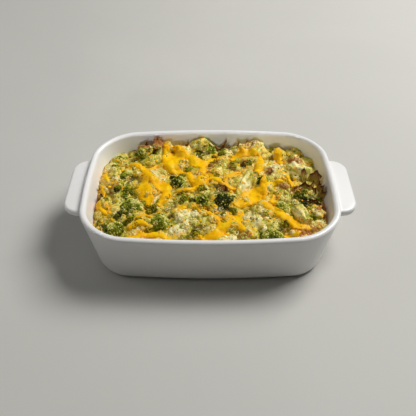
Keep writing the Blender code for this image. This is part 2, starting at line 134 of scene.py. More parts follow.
class Board:
    """A material's node tree, with a short call for each kind of node that the food needs."""

    def __init__(self, name: str) -> None:
        """Start a Principled material of this name."""
        self.material = bpy.data.materials.new(name)
        self.material.use_nodes = True
        tree = self.material.node_tree
        self.nodes, self.links = tree.nodes, tree.links
        self.shader = self.nodes["Principled BSDF"]
        self.place = self.nodes.new("ShaderNodeTexCoord").outputs["Object"]

    def feed(self, node: bpy.types.Node, key: int | str, value: Socket | Colour | float) -> None:
        """Join a socket to a node's input, or set the input to a colour or number.

        Args:
            node: The node.
            key: The input's number or name.
            value: What it takes.
        """
        socket = node.inputs[key]
        if isinstance(value, Socket):
            self.links.new(value, socket)
        else:
            socket.default_value = (*value, 1.0) if socket.type == "RGBA" else value

    def node(self, kind: str, **inputs: Socket | float) -> bpy.types.Node:
        """A new node of this kind, with inputs joined or set by name."""
        node = self.nodes.new(f"ShaderNode{kind}")
        for name, value in inputs.items():
            self.feed(node, name, value)
        return node

    def fixed(self, **values: float | Colour) -> None:
        """Set the shader's own sockets, named with underscores for spaces."""
        for name, value in values.items():
            self.feed(self.shader, name.replace("_", " "), value)

    def wire(self, source: Socket, target: str) -> None:
        """Join a socket to one of the shader's, by its name."""
        self.feed(self.shader, target, source)

    def attribute(self, name: str) -> Socket:
        """The value of a named attribute of the mesh."""
        node = self.node("Attribute")
        node.attribute_name = name
        return node.outputs["Fac"]

    def noise(self, scale: float, detail: float = 3.0, rough: float = 0.55, warp: float = 0.0) -> Socket:
        """Noise over the object's own coordinates.

        Args:
            scale: Features per metre.
            detail: Octaves.
            rough: Weight of the finer octaves.
            warp: Distortion.

        Returns:
            The noise's value socket.
        """
        values = {"Scale": scale, "Detail": detail, "Roughness": rough, "Distortion": warp}
        return self.node("TexNoise", Vector=self.place, **values).outputs["Fac"]

    def cells(self, scale: float) -> tuple[Socket, Socket]:
        """Small cells packed side by side.

        Args:
            scale: Cells per metre.

        Returns:
            The distance from each cell's middle, and a random value for each cell.
        """
        node = self.node("TexVoronoi", Vector=self.place, Scale=scale)
        split = self.node("SeparateColor", Color=node.outputs["Color"])
        return node.outputs["Distance"], split.outputs[0]

    def math(self, operation: str, first: Socket | float, second: Socket | float) -> Socket:
        """A sum, product or other operation on two values, by Blender's name of it."""
        node = self.node("Math")
        node.operation = operation
        self.feed(node, 0, first)
        self.feed(node, 1, second)
        return node.outputs[0]

    def spread(
        self, value: Socket, low: float, high: float, to_low: float = 0.0, to_high: float = 1.0
    ) -> Socket:
        """A value's range from low to high, stretched to another range and held at its ends."""
        node = self.node("MapRange")
        for index, number in enumerate((value, low, high, to_low, to_high)):
            self.feed(node, index, number)
        return node.outputs[0]

    def ramp(self, value: Socket, stops: Sequence[tuple[float, Colour]]) -> Socket:
        """A colour picked by a value from 0 to 1 from a row of rising stops."""
        node = self.node("ValToRGB", Fac=value)
        elements = node.color_ramp.elements
        while len(elements) < len(stops):
            elements.new(0.5)
        for element, (position, colour) in zip(elements, stops):
            element.position = position
            element.color = (*colour, 1.0)
        return node.outputs[0]

    def blend(self, share: Socket, first: Socket | Colour, second: Socket | Colour) -> Socket:
        """A mix of two colours, with this share of the second."""
        node = self.node("Mix")
        node.data_type = "RGBA"
        for key, value in (("Factor", share), (6, first), (7, second)):
            self.feed(node, key, value)
        return node.outputs[2]

    def relief(self, height: Socket, depth: float, strength: float = 1.0) -> None:
        """Bump the surface by a height, depth metres for each unit of it."""
        self.wire(self.node("Bump", Strength=strength, Distance=depth, Height=height).outputs[0], "Normal")


@dataclass(frozen=True)
class Glaze:
    """White stoneware glaze, with a thin film of food on the inside and a bare foot whose brown is partly
    painted shade.
    """

    white: Colour = screen(243, 242, 240)
    film: Colour = screen(226, 212, 180)
    # Brown of the unglazed foot, which also paints the warm shade where the dish meets the floor.
    bare: Colour = screen(176, 150, 124)
    roughness: float = 0.3

    def material(self) -> Material:
        """The glaze as a material, which reads the dish's stain and bare attributes."""
        board = Board("white glaze")
        board.fixed(Specular_IOR_Level=0.5, Coat_Weight=0.25, Coat_Roughness=0.12)
        cloud = board.spread(board.noise(18, 2), 0.3, 0.7)
        clean = board.blend(cloud, self.white, tuple(0.985 * part for part in self.white))
        streaks = board.spread(board.noise(160, 5, 0.65), 0.35, 0.75, 0.15, 1.0)
        film = board.math("MULTIPLY", board.attribute("stain"), streaks)
        glazed = board.blend(film, clean, self.film)
        # The bare band at the base: the unglazed foot, and painted warm shade where the dish meets the floor.
        board.wire(board.blend(board.attribute("bare"), glazed, self.bare), "Base Color")
        rough = board.spread(board.noise(90, 3), 0.3, 0.7, self.roughness, self.roughness + 0.06)
        board.wire(rough, "Roughness")
        board.relief(board.noise(70, 2, 0.4), 0.08 * MM, 0.35)
        return board.material


@dataclass(frozen=True)
class Flecks:
    """Small bits of another colour that are scattered through a cooked surface.

    Attributes:
        scale: Bits per metre.
        share: How much of the surface takes the colour.
        colour: Their colour.
        torn: Whether they are ragged shreds, and not round grains.
    """

    scale: float
    share: float
    colour: Colour
    torn: bool = False

    def chosen(self, board: Board) -> Socket:
        """1 where a bit lies and 0 elsewhere."""
        if self.torn:
            edge = 0.66 - 0.5 * self.share
            return board.spread(board.noise(self.scale, 2, 0.6, 1.6), edge - 0.02, edge + 0.03)
        _, own_value = board.cells(self.scale)
        return board.spread(own_value, 0.99 - self.share, 1.01 - self.share)


@dataclass(frozen=True)
class Cooked:
    """A cooked surface: a row of tones picked by attributes, cells and noise, under a moist skin.

    The mesh's tone attribute picks the tone, bead moves it for one bud, gold tints it with
    melted cheddar and scorch browns it.

    Attributes:
        name: The material's name.
        stops: Position and colour of each tone.
        greens: The same for the patches where the broccoli shows, if there are any.
        base: Tone where the attribute is 0.
        mottle: How far the coarse noise moves the tone.
        mottle_scale: Coarse features per metre.
        speckle: How far each small cell's own value moves the tone.
        speckle_scale: Small cells per metre.
        flecks: Scattered cells of other colours.
        gilt: Colour of the melted cheddar's tint.
        scorch: Colour of browned spots.
        scorch_edge: Noise level above which the surface is browned.
        roughness: Of the skin.
        coat: Weight of the oily coat.
        grain: Depth of the fine relief, in metres.
        glow: Weight of the light that passes under the skin.
        patches: Noise levels between which the greens begin.
        clusters: Noise levels between which the flecks grow thicker.
        seep: Noise levels between which the gilt shows.
        scorch_fade: How far above its edge the scorch is whole.
    """

    name: str
    stops: tuple[tuple[float, Colour], ...]
    greens: tuple[tuple[float, Colour], ...] = ()
    base: float = 0.0
    mottle: float = 0.3
    mottle_scale: float = 230.0
    speckle: float = 0.3
    speckle_scale: float = 650.0
    flecks: tuple[Flecks, ...] = ()
    gilt: Colour = screen(244, 178, 0)
    scorch: Colour = screen(172, 112, 54)
    scorch_edge: float = 0.66
    roughness: float = 0.5
    coat: float = 0.1
    grain: float = 0.3 * MM
    glow: float = 0.0
    patches: Place = (0.46, 0.56)
    clusters: Place = (0.42, 0.54)
    seep: Place = (0.38, 0.6)
    scorch_fade: float = 0.14

    def tone(self, board: Board) -> Socket:
        """The tone: the mesh's own, with the cells' and the noise's share."""
        coarse = board.spread(
            board.noise(self.mottle_scale, 3, 0.6, 0.4), 0.28, 0.72, -self.mottle / 2, self.mottle / 2
        )
        _, own_value = board.cells(self.speckle_scale)
        fine = board.spread(own_value, 0.0, 1.0, -self.speckle / 2, self.speckle / 2)
        tone = board.math("ADD", board.attribute("tone"), self.base)
        for more in (board.attribute("bead"), coarse, fine):
            tone = board.math("ADD", tone, more)
        return tone

    def material(self) -> Material:
        """The cooked surface as a material."""
        board = Board(self.name)
        board.fixed(
            Specular_IOR_Level=0.14,
            Coat_Weight=self.coat,
            Coat_Roughness=0.25,
            Subsurface_Weight=self.glow,
            Subsurface_Scale=0.003,
            Subsurface_Radius=(1.0, 0.75, 0.15),
        )
        tone = self.tone(board)
        colour = board.ramp(tone, self.stops)
        if self.greens:
            patches = board.spread(board.noise(150, 4, 0.65, 0.8), *self.patches)
            colour = board.blend(patches, colour, board.ramp(tone, self.greens))
        clusters = board.spread(board.noise(120, 3, 0.6, 0.5), *self.clusters, 0.3, 1.0)
        for flecks in self.flecks:
            chosen = board.math("MULTIPLY", flecks.chosen(board), clusters)
            colour = board.blend(chosen, colour, flecks.colour)
        shown = board.spread(board.noise(300, 4, 0.65), *self.seep)
        colour = board.blend(board.math("MULTIPLY", board.attribute("gold"), shown), colour, self.gilt)
        spots = board.math("ADD", board.noise(330, 4, 0.6), board.attribute("scorch"))
        browned = board.spread(spots, self.scorch_edge, self.scorch_edge + self.scorch_fade)
        board.wire(board.blend(browned, colour, self.scorch), "Base Color")
        rough = board.spread(board.noise(500, 3), 0.3, 0.7, self.roughness - 0.1, self.roughness + 0.12)
        board.wire(rough, "Roughness")
        board.relief(board.noise(self.speckle_scale, 4, 0.6), self.grain, 0.8)
        return board.material


PEPPER = Flecks(760, 0.024, screen(64, 54, 10))
CREAM_FLECKS = Flecks(430, 0.195, screen(248, 236, 168), torn=True)
GOLD_FLECKS = Flecks(300, 0.13, screen(244, 180, 0))
GREEN_FLECKS = Flecks(360, 0.14, screen(120, 134, 8), torn=True)

BROCCOLI_TONES = tones(
    (0.0, 24, 22, 0), (0.2, 56, 60, 0), (0.4, 104, 114, 6),
    (0.6, 156, 164, 26), (0.8, 206, 202, 74), (1.0, 244, 234, 156),
)
CUSTARD_TONES = tones(
    (0.0, 54, 44, 0), (0.2, 112, 94, 0), (0.4, 172, 144, 0),
    (0.6, 214, 182, 26), (0.8, 238, 212, 92), (1.0, 250, 240, 184),
)
LIME_TONES = tones(
    (0.0, 40, 42, 0), (0.2, 86, 94, 4), (0.4, 134, 144, 16),
    (0.6, 178, 182, 46), (0.8, 216, 212, 104), (1.0, 246, 240, 180),
)
STALK_TONES = tones((0.0, 104, 108, 12), (0.4, 172, 170, 42), (0.75, 220, 208, 96), (1.0, 246, 238, 172))
CHEDDAR_TONES = tones((0.0, 214, 142, 0), (0.4, 244, 178, 0), (0.75, 255, 200, 2), (1.0, 255, 218, 34))
CRISP_TONES = tones((0.0, 66, 36, 14), (0.35, 132, 86, 42), (0.7, 168, 130, 54), (1.0, 172, 164, 60))

BROCCOLI = Cooked("broccoli buds", BROCCOLI_TONES, base=0.06, mottle=0.25, speckle=0.1, coat=0.04)
COATED = Cooked(
    "custard over broccoli",
    CUSTARD_TONES,
    LIME_TONES,
    base=0.06,
    mottle=0.84,
    mottle_scale=100,
    speckle=0.16,
    speckle_scale=560,
    flecks=(GREEN_FLECKS, GOLD_FLECKS, CREAM_FLECKS, PEPPER),
    roughness=0.48,
    coat=0.04,
    grain=0.2 * MM,
    glow=0.06,
)
STEM = Cooked(
    "broccoli stem",
    STALK_TONES,
    mottle=0.5,
    mottle_scale=150,
    speckle=0.1,
    flecks=(CREAM_FLECKS, GOLD_FLECKS, PEPPER),
    scorch_edge=0.76,
    roughness=0.45,
    coat=0.06,
)
CHEDDAR = Cooked(
    "melted cheddar",
    CHEDDAR_TONES,
    mottle=0.35,
    mottle_scale=110,
    speckle=0.0,
    scorch=screen(188, 126, 16),
    scorch_edge=0.76,
    roughness=0.42,
    coat=0.03,
    grain=0.1 * MM,
    glow=0.12,
)
CRISP = Cooked("crisp leaf", CRISP_TONES, mottle=0.5, speckle=0.2, roughness=0.6, coat=0.0)


@dataclass(frozen=True)
class Floor:
    """A plain pale stone surface."""

    tone: Colour = screen(206, 205, 199)

    def material(self) -> Material:
        """The floor's material, faintly clouded."""
        board = Board("pale floor")
        board.fixed(Specular_IOR_Level=0.3, Roughness=0.65)
        cloud = board.spread(board.noise(2.2, 4, 0.6, 0.6), 0.3, 0.7)
        grit = board.spread(board.noise(700, 2), 0.3, 0.7, 0.0, 0.5)
        darker = tuple(0.93 * part for part in self.tone)
        shade = board.blend(cloud, darker, self.tone)
        board.wire(board.blend(grit, shade, tuple(0.95 * part for part in self.tone)), "Base Color")
        return board.material


def mesh_of(shape: Shape, name: str = "blank") -> Mesh:
    """A mesh from a bmesh, which is freed."""
    mesh = bpy.data.meshes.new(name)
    shape.to_mesh(mesh)
    shape.free()
    return mesh


def placed(name: str, data: bpy.types.ID) -> Thing:
    """A new object of this name and data, in the scene."""
    thing = bpy.data.objects.new(name, data)
    bpy.context.scene.collection.objects.link(thing)
    return thing


def dress(
    name: str, form: Shape | Mesh, material: Material, replaced: str | None = None
) -> Thing:
    """Make a finished piece that rides on the dish's body.

    Args:
        name: The piece's name.
        form: Its mesh in place, or a bmesh, which is freed.
        material: Its finish.
        replaced: The node that it replaces, if any.

    Returns:
        The piece.
    """
    mesh = form if isinstance(form, Mesh) else mesh_of(form)
    mesh.name = name
    mesh.materials.clear()
    mesh.materials.append(material)
    mesh.shade_smooth()
    piece = placed(name, mesh)
    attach(piece, BODY)
    if replaced:
        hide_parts(replaced)
    LOG.info("%s: %d faces", name, len(mesh.polygons))
    return piece


def applied(thing: Thing) -> Mesh:
    """An object's mesh with its modifiers, after which the object is removed."""
    graph = bpy.context.evaluated_depsgraph_get()
    mesh = bpy.data.meshes.new_from_object(thing.evaluated_get(graph))
    bpy.data.objects.remove(thing)
    return mesh


def everything(shape: Shape) -> list[bmesh.types.BMVert | bmesh.types.BMEdge | bmesh.types.BMFace]:
    """All of a bmesh's vertices, edges and faces."""
    return [*shape.verts, *shape.edges, *shape.faces]


def slice_along(shape: Shape, axis: int, stops: Iterable[float]) -> None:
    """Cut a bmesh across an axis at each of these places, and keep both sides.

    Args:
        shape: The bmesh.
        axis: 0 for X, 1 for Y and 2 for Z.
        stops: The places along the axis.
    """
    normal = Vector((0, 0, 0))
    normal[axis] = 1
    for stop in stops:
        cut = Vector((0, 0, 0))
        cut[axis] = stop
        bmesh.ops.bisect_plane(shape, geom=everything(shape), plane_co=cut, plane_no=normal)


def round_edges(shape: Shape, edges: list[bmesh.types.BMEdge], radius: float, steps: int) -> None:
    """Bevel these edges to a round of this radius."""
    bmesh.ops.bevel(
        shape, geom=edges, offset=radius, segments=steps, affect="EDGES", profile=0.5, material=-1
    )


def fill_open(shape: Shape) -> None:
    """Cap the open edges of a bmesh."""
    bmesh.ops.holes_fill(shape, edges=[edge for edge in shape.edges if edge.is_boundary], sides=0)


def face_outwards(shape: Shape) -> None:
    """Turn a closed bmesh whose faces all look inwards."""
    if shape.calc_volume(signed=True) < 0:
        bmesh.ops.reverse_faces(shape, faces=shape.faces)


def turned(heading: float, lean: float, axis: str = "Y") -> Matrix:
    """A lean about an axis and then a turn about Z, both in degrees."""
    return Matrix.Rotation(math.radians(heading), 3, "Z") @ Matrix.Rotation(math.radians(lean), 3, axis)


def in_metres(row: Sequence[float], count: int = 4) -> tuple[float, ...]:
    """A row whose first numbers are in millimetres, with those in metres."""
    return (*(value * MM for value in row[:count]), *row[count:])


def tone_layer(shape: Shape, name: str = "tone") -> bmesh.types.BMLayerItem:
    """The bmesh's float layer of this name, made if it isn't there."""
    layers = shape.verts.layers.float
    return layers.get(name) or layers.new(name)


@dataclass
class Dish:
    """The white ceramic dish: its outline, wall, rim and two tab handles, in metres."""

    height: float = 55 * MM
    rim_half: Place = (120 * MM, 82.3 * MM)
    rim_corner: float = 40 * MM
    rim_bow: float = 7.8 * MM
    foot_half: Place = (106 * MM, 78.1 * MM)
    foot_corner: float = 27 * MM
    foot_bow: float = 5.6 * MM
    end_bow_share: float = 0.6
    foot_round: float = 6 * MM
    wall: float = 6 * MM
    floor: float = 6 * MM
    inner_round: float = 12 * MM
    corner_steps: int = 24
    long_steps: int = 20
    short_steps: int = 12
    round_steps: int = 9
    wall_steps: int = 18
    handle_reach: float = 136 * MM
    handle_root: float = 114.2 * MM
    handle_half_width: float = 37.5 * MM
    handle_top: float = 49 * MM
    handle_thickness: float = 6.8 * MM
    handle_corner: float = 15 * MM
    handle_edge: float = 2.6 * MM
    handle_fillet: float = 3.2 * MM
    handle_flare: float = 8 * MM
    stain_line: float = 36 * MM
    stain_reach: float = 5 * MM
    stain_strength: float = 0.14
    stain_ripples: float = 45

    def size_at(self, height: float, inset: float) -> tuple[float, float, float, float]:
        """Half length, half width, corner radius and bow of the outline at a height, moved in by inset."""
        up = height / self.height
        half_length = mix(self.foot_half[0], self.rim_half[0], up) - inset
        half_width = mix(self.foot_half[1], self.rim_half[1], up) - inset
        corner = mix(self.foot_corner, self.rim_corner, up) - inset
        return half_length, half_width, corner, mix(self.foot_bow, self.rim_bow, up)

    def outline(self, height: float, inset: float) -> list[Place]:
        """The wall's outline: a rounded rectangle whose four sides bow outwards.

        Args:
            height: Height above the base.
            inset: How far it is moved in from the outer wall.

        Returns:
            Its points, from +X round by +Y.
        """
        half_length, half_width, corner, bow = self.size_at(height, inset)
        plain: list[Vector] = []
        for quadrant in range(4):
            side_x = 1 if quadrant in (0, 3) else -1
            side_y = 1 if quadrant in (0, 1) else -1
            middle = Vector((side_x * (half_length - corner), side_y * (half_width - corner)))
            for step in range(self.corner_steps + 1):
                angle = math.radians(90 * (quadrant + step / self.corner_steps))
                plain.append(middle + corner * Vector((math.cos(angle), math.sin(angle))))
            steps = self.short_steps if quadrant % 2 else self.long_steps
            mirrored = (1, -1) if quadrant % 2 else (-1, 1)
            start = plain[-1]
            end = Vector((start.x * mirrored[0], start.y * mirrored[1]))
            plain.extend(start.lerp(end, step / steps) for step in range(1, steps))
        bowed: list[Place] = []
        for point in plain:
            along, across = point.x / half_length, point.y / half_width
            x = point.x - self.end_bow_share * bow * along * across**2
            bowed.append((x, point.y - bow * across * along**2))
        return bowed

    def depth_inside(self, x: float, y: float, height: float, inset: float) -> float:
        """How far a place lies inside the outline at this height and inset; below 0 it is outside."""
        half_length, half_width, corner, bow = self.size_at(height, inset)
        along, across = x / half_length, y / half_width
        plain_x = abs(x + self.end_bow_share * bow * along * across**2) - (half_length - corner)
        plain_y = abs(y + bow * across * along**2) - (half_width - corner)
        outside = math.hypot(max(plain_x, 0), max(plain_y, 0))
        return corner - outside - min(max(plain_x, plain_y), 0)

    def levels(self) -> Iterator[tuple[float, float]]:
        """Height and inset of each ring, from the foot up the outside, over the rim and down inside."""
        for step in range(self.round_steps + 1):
            angle = math.pi / 2 * step / self.round_steps
            yield self.foot_round * (1 - math.cos(angle)), self.foot_round * (1 - math.sin(angle))
        rim = self.wall / 2
        shoulder = self.height - rim
        for step in range(1, self.wall_steps):
            yield mix(self.foot_round, shoulder, step / self.wall_steps), 0.0
        for step in range(2 * self.round_steps + 1):
            angle = math.pi / 2 * step / self.round_steps
            yield shoulder + rim * math.sin(angle), rim - rim * math.cos(angle)
        bottom = self.floor + self.inner_round
        for step in range(1, self.wall_steps):
            yield mix(shoulder, bottom, step / self.wall_steps), self.wall
        for step in range(self.round_steps + 1):
            angle = math.pi / 2 * step / self.round_steps
            height = bottom - self.inner_round * math.sin(angle)
            yield height, self.wall + self.inner_round * (1 - math.cos(angle))

    def shell(self) -> Shape:
        """The dish without handles: a capped ring, extruded from level to level."""
        rings = [
            [Vector((x, y, height)) for x, y in self.outline(height, inset)]
            for height, inset in self.levels()
        ]
        shape = bmesh.new()
        bmesh.ops.create_circle(shape, cap_ends=True, radius=self.height, segments=len(rings[0]))
        shape.faces.ensure_lookup_table()
        cap = shape.faces[0]
        for level, points in enumerate(rings):
            if level:
                geometry = [cap, *cap.edges, *cap.verts]
                made = bmesh.ops.extrude_face_region(shape, geom=geometry, use_keep_orig=level == 1)
                cap = next(item for item in made["geom"] if isinstance(item, bmesh.types.BMFace))
            for vertex, point in zip(cap.verts, points):
                vertex.co = point
        bmesh.ops.recalc_face_normals(shape, faces=shape.faces)
        return shape

    def wall_reach(self, y: float, height: float) -> float:
        """How far out along X the end wall stands at this place along Y."""
        half_length, half_width, _, bow = self.size_at(height, 0)
        return half_length - self.end_bow_share * bow * (y / half_width) ** 2

    def handle(self, side: int) -> Shape:
        """A flat tab with rounded corners and edges, which flares where it meets the wall.

        Args:
            side: 1 for the right end, -1 for the left.

        Returns:
            The tab, whose root stays inside the wall.
        """
        length = self.handle_reach - self.handle_root
        middle_x = side * (self.handle_reach + self.handle_root) / 2
        middle_z = self.handle_top - self.handle_thickness / 2
        size = Vector((length, 2 * self.handle_half_width, self.handle_thickness))
        place = Matrix.LocRotScale(Vector((middle_x, 0, middle_z)), None, size)
        shape = bmesh.new()
        bmesh.ops.create_cube(shape, size=1, matrix=place)
        upright = [
            edge
            for edge in shape.edges
            if all(abs(vertex.co.x) > abs(middle_x) for vertex in edge.verts)
            and abs(edge.verts[0].co.z - edge.verts[1].co.z) > self.handle_edge
        ]
        round_edges(shape, upright, self.handle_corner, 14)
        root = self.handle_root + MM
        level = [
            edge
            for edge in shape.edges
            if abs(edge.verts[0].co.z - edge.verts[1].co.z) < self.handle_edge
            and any(abs(vertex.co.x) > root for vertex in edge.verts)
        ]
        round_edges(shape, level, self.handle_edge, 5)
        flare_end = self.handle_root + self.handle_flare
        slice_along(shape, 0, [side * mix(self.handle_root, flare_end, step / 12) for step in range(1, 12)])
        slice_along(shape, 1, [step / 10 * self.handle_half_width for step in range(-9, 10)])
        self.flare(shape, middle_z)
        bmesh.ops.recalc_face_normals(shape, faces=shape.faces)
        return shape

    def flare(self, shape: Shape, middle_z: float) -> None:
        """Widen a tab towards the wall, by a quarter round that runs out into it."""
        fillet = self.handle_fillet
        for vertex in shape.verts:
            away = abs(vertex.co.x) - self.wall_reach(vertex.co.y, vertex.co.z)
            short = clamp(1 - away / fillet)
            grow = fillet * (1 - math.sqrt(1 - short * short))
            up = (vertex.co.z - middle_z) / (self.handle_thickness / 2)
            aside = ramp_up(abs(vertex.co.y), 0.8 * self.handle_half_width, self.handle_half_width)
            vertex.co.z += grow * clamp(up, -1, 1)
            vertex.co.y += math.copysign(grow * aside, vertex.co.y)

    def stain(self, mesh: Mesh) -> None:
        """Mark the uneven band above the food that food has marked, and the unglazed foot, whose brown band
        is partly painted shade.
        """
        values = np.zeros(len(mesh.vertices), np.float32)
        # The bottom 1.2 mm is the unglazed foot, and it also carries painted warm shade where the dish meets
        # the floor.
        bare = [1 - ramp_up(vertex.co.z, 0.5 * MM, 1.2 * MM) for vertex in mesh.vertices]
        for index, vertex in enumerate(mesh.vertices):
            x, y, z = vertex.co
            inner = self.depth_inside(x, y, z, 0) > 0.6 * self.wall
            if inner and z > self.floor + MM:
                ripple = noise.noise(Vector((x, y, 0)) * self.stain_ripples)
                tide = self.stain_line + self.stain_reach * ripple
                values[index] = self.stain_strength * (1 - ramp_up(z, tide - 2 * MM, tide + self.stain_reach))
        for name, amounts in (("stain", values), ("bare", np.array(bare, np.float32))):
            mesh.attributes.new(name, "FLOAT", "POINT").data.foreach_set("value", amounts)

    def build(self) -> Thing:
        """The whole dish as one glazed piece."""
        body = placed("blank", mesh_of(self.shell()))
        tabs = bpy.data.collections.new("tabs")
        bpy.context.scene.collection.children.link(tabs)
        for side in (-1, 1):
            tab = placed("blank", mesh_of(self.handle(side)))
            bpy.context.scene.collection.objects.unlink(tab)
            tabs.objects.link(tab)
        join = body.modifiers.new("Join", "BOOLEAN")
        join.operation, join.solver = "UNION", "EXACT"
        join.operand_type, join.collection = "COLLECTION", tabs
        mesh = applied(body)
        for tab in list(tabs.objects):
            bpy.data.objects.remove(tab)
        bpy.data.collections.remove(tabs)
        self.stain(mesh)
        return dress("baking_dish", mesh, Glaze().material(), "dish")


@dataclass
class Surface:
    """The baked surface's broad form, on which everything lies, as in the solids."""

    cavity_half: Place = (113.5 * MM, 75.5 * MM)
    edge_height: float = 36 * MM
    crown_height: float = 42 * MM
    crag_height: float = 1.6 * MM
    crag_length: float = 17 * MM
    swells: tuple[tuple[float, float, float, float], ...] = (
        (-90, 22, 20, 4.5), (60, 22, 22, 3.5), (42, 58, 15, 4), (-17, 58, 14, 4), (-56, 52, 14, 3.5),
        (-20, -38, 22, 3), (48, -42, 22, 3), (-76, -40, 18, 3), (8, 8, 24, 2.5), (96, -34, 12, 2.5),
        (-84, 50, 14, -6), (-70, 64, 8, -3), (96, 50, 9, -3),
    )
    lump_seed: int = 7
    lump_count: int = 37
    lump_tries: int = 3000
    lump_spacing: float = 15 * MM
    lump_radius: Place = (7 * MM, 11.5 * MM)
    lump_crowding: float = 0.85
    lump_sink: float = 0.35
    lump_flatness: float = 0.8
    lump_dent: float = 0.16
    tallest: float = 49.8 * MM
    taken: list[tuple[float, float, float]] = field(default_factory=list)

    def height(self, x: float, y: float) -> float:
        """Height of the broad surface at this place."""
        level = (x / self.cavity_half[0]) ** 4 + (y / self.cavity_half[1]) ** 4
        height = mix(self.crown_height, self.edge_height, min(level, 1))
        for swell_x, swell_y, reach, rise in self.swells:
            away = math.hypot(x - swell_x * MM, y - swell_y * MM) / (reach * MM)
            height += rise * MM * math.exp(-away * away)
        return height + self.crag_height * noise.noise(Vector((x, y, 0)) / self.crag_length)

    def lumps(self) -> list[tuple[float, float, float]]:
        """The fused lumps as (x, y, radius), by the seeded draw that the solids use."""
        draw = random.Random(self.lump_seed)
        taken = list(self.taken)
        found: list[tuple[float, float, float]] = []
        for _ in range(self.lump_tries):
            if len(found) == self.lump_count:
                break
            x = draw.uniform(-1, 1) * (self.cavity_half[0] - self.lump_radius[0])
            y = draw.uniform(-1, 1) * (self.cavity_half[1] - self.lump_radius[0])
            radius = draw.uniform(*self.lump_radius)
            clear = all(
                math.hypot(x - other_x, y - other_y)
                > max(self.lump_spacing, self.lump_crowding * (radius + reach))
                for other_x, other_y, reach in taken
            )
            if clear:
                found.append((x, y, radius))
                taken.append((x, y, radius))
        return found

    def lump_middle(self, x: float, y: float, radius: float) -> float:
        """Height of a lump's middle, sunk in the surface and kept under the tallest point."""
        lowest_top = self.tallest - self.lump_flatness * radius * (1 + self.lump_dent)
        return min(self.height(x, y) - self.lump_sink * radius, lowest_top)


@dataclass
class Raster:
    """A quantity over the dish seen from above, kept at the points of a grid.

    Attributes:
        half: Half its size along X and Y.
        cell: Distance between its points.
    """

    half: Place = (122 * MM, 84 * MM)
    cell: float = 1 * MM

    def __post_init__(self) -> None:
        """Lay out the grid, with 0 at each point."""
        axes = (np.linspace(-half, half, 2 * round(half / self.cell) + 1) for half in self.half)
        self.x, self.y = np.meshgrid(*axes, indexing="ij")
        self.values = np.zeros_like(self.x)

    def index(self, x: float, y: float) -> tuple[int, int]:
        """The grid point nearest to this place."""
        column, row = round((x + self.half[0]) / self.cell), round((y + self.half[1]) / self.cell)
        rows, columns = self.values.shape
        return int(clamp(column, 0, rows - 1)), int(clamp(row, 0, columns - 1))

    def at(self, x: float, y: float) -> float:
        """The quantity at this place, read between the grid's points."""
        rows, columns = self.values.shape
        across = clamp((x + self.half[0]) / self.cell, 0, rows - 1.001)
        up = clamp((y + self.half[1]) / self.cell, 0, columns - 1.001)
        i, j = int(across), int(up)
        u, v = across - i, up - j
        near = self.values[i : i + 2, j : j + 2]
        low = near[0, 0] * (1 - u) + near[1, 0] * u
        high = near[0, 1] * (1 - u) + near[1, 1] * u
        return float(low * (1 - v) + high * v)

    def widen(self, reach: float) -> None:
        """Raise each point to the highest within this reach along either axis."""
        span = max(1, round(reach / self.cell))
        for axis in (0, 1):
            parts = [np.roll(self.values, step, axis) for step in range(-span, span + 1)]
            self.values = np.maximum.reduce(parts)

    def blur(self, reach: float) -> None:
        """Average the quantity over a square of this half size, twice."""
        span = max(1, round(reach / self.cell))
        for _ in range(2):
            for axis in (0, 1):
                parts = [np.roll(self.values, step, axis) for step in range(-span, span + 1)]
                self.values = sum(parts) / len(parts)


# Each patch is x, y and reach in millimetres, and the shift of the tone at its middle.
TONE_PATCHES = (
    (-76, -24, 13, -0.2), (-70, -33, 9, -0.2), (-86, -53, 11, -0.24), (-92, -38, 8, -0.14),
    (-48, -42, 9, -0.3), (-36, -42, 8, -0.24), (-52, -28, 8, -0.22), (-10, -15, 10, -0.22),
    (-8, -24, 8, -0.42), (14, -24, 10, -0.5), (10, -12, 8, -0.34), (14, -2, 7, -0.34),
    (-34, 12, 8, -0.42), (-25, -2, 6, -0.28), (-66, 58, 9, -0.3), (-54, 62, 7, -0.2), (-8, 60, 8, -0.24),
    (0, 52, 7, -0.22), (9, 39, 9, -0.26), (33, 38, 8, -0.36), (44, 14, 8, -0.44), (28, -12, 6, -0.34),
    (79, 15, 7, -0.36), (92, 28, 9, 0.16), (93, -14, 11, -0.5), (91, -40, 5, -0.28), (82, -34, 7, 0.12),
    (52, -65, 10, -0.38), (67, -53, 6, -0.36), (32, -66, 8, -0.2), (-22, -67, 10, -0.24),
    (-58, -68, 8, -0.24), (61, -10, 8, -0.2), (-60, 12, 6, -0.2), (-48, -6, 5, -0.18),
    (-66, 44, 10, -0.06), (-90, 16, 16, 0.02), (60, 34, 13, 0.16), (48, 60, 13, 0.18), (34, 6, 10, 0.26),
    (-30, -52, 12, 0.12), (-22, -36, 10, 0.14), (14, -64, 8, 0.22), (44, -40, 14, 0.16),
    (78, -62, 11, 0.16), (88, 33, 9, 0.14), (96, -44, 9, 0.06), (-46, 22, 8, 0.18), (-16, 62, 6, 0.16),
    (-52, -12, 7, 0.2), (80, -22, 9, 0.12), (20, 26, 9, 0.08), (-76, -60, 10, 0.08),
)
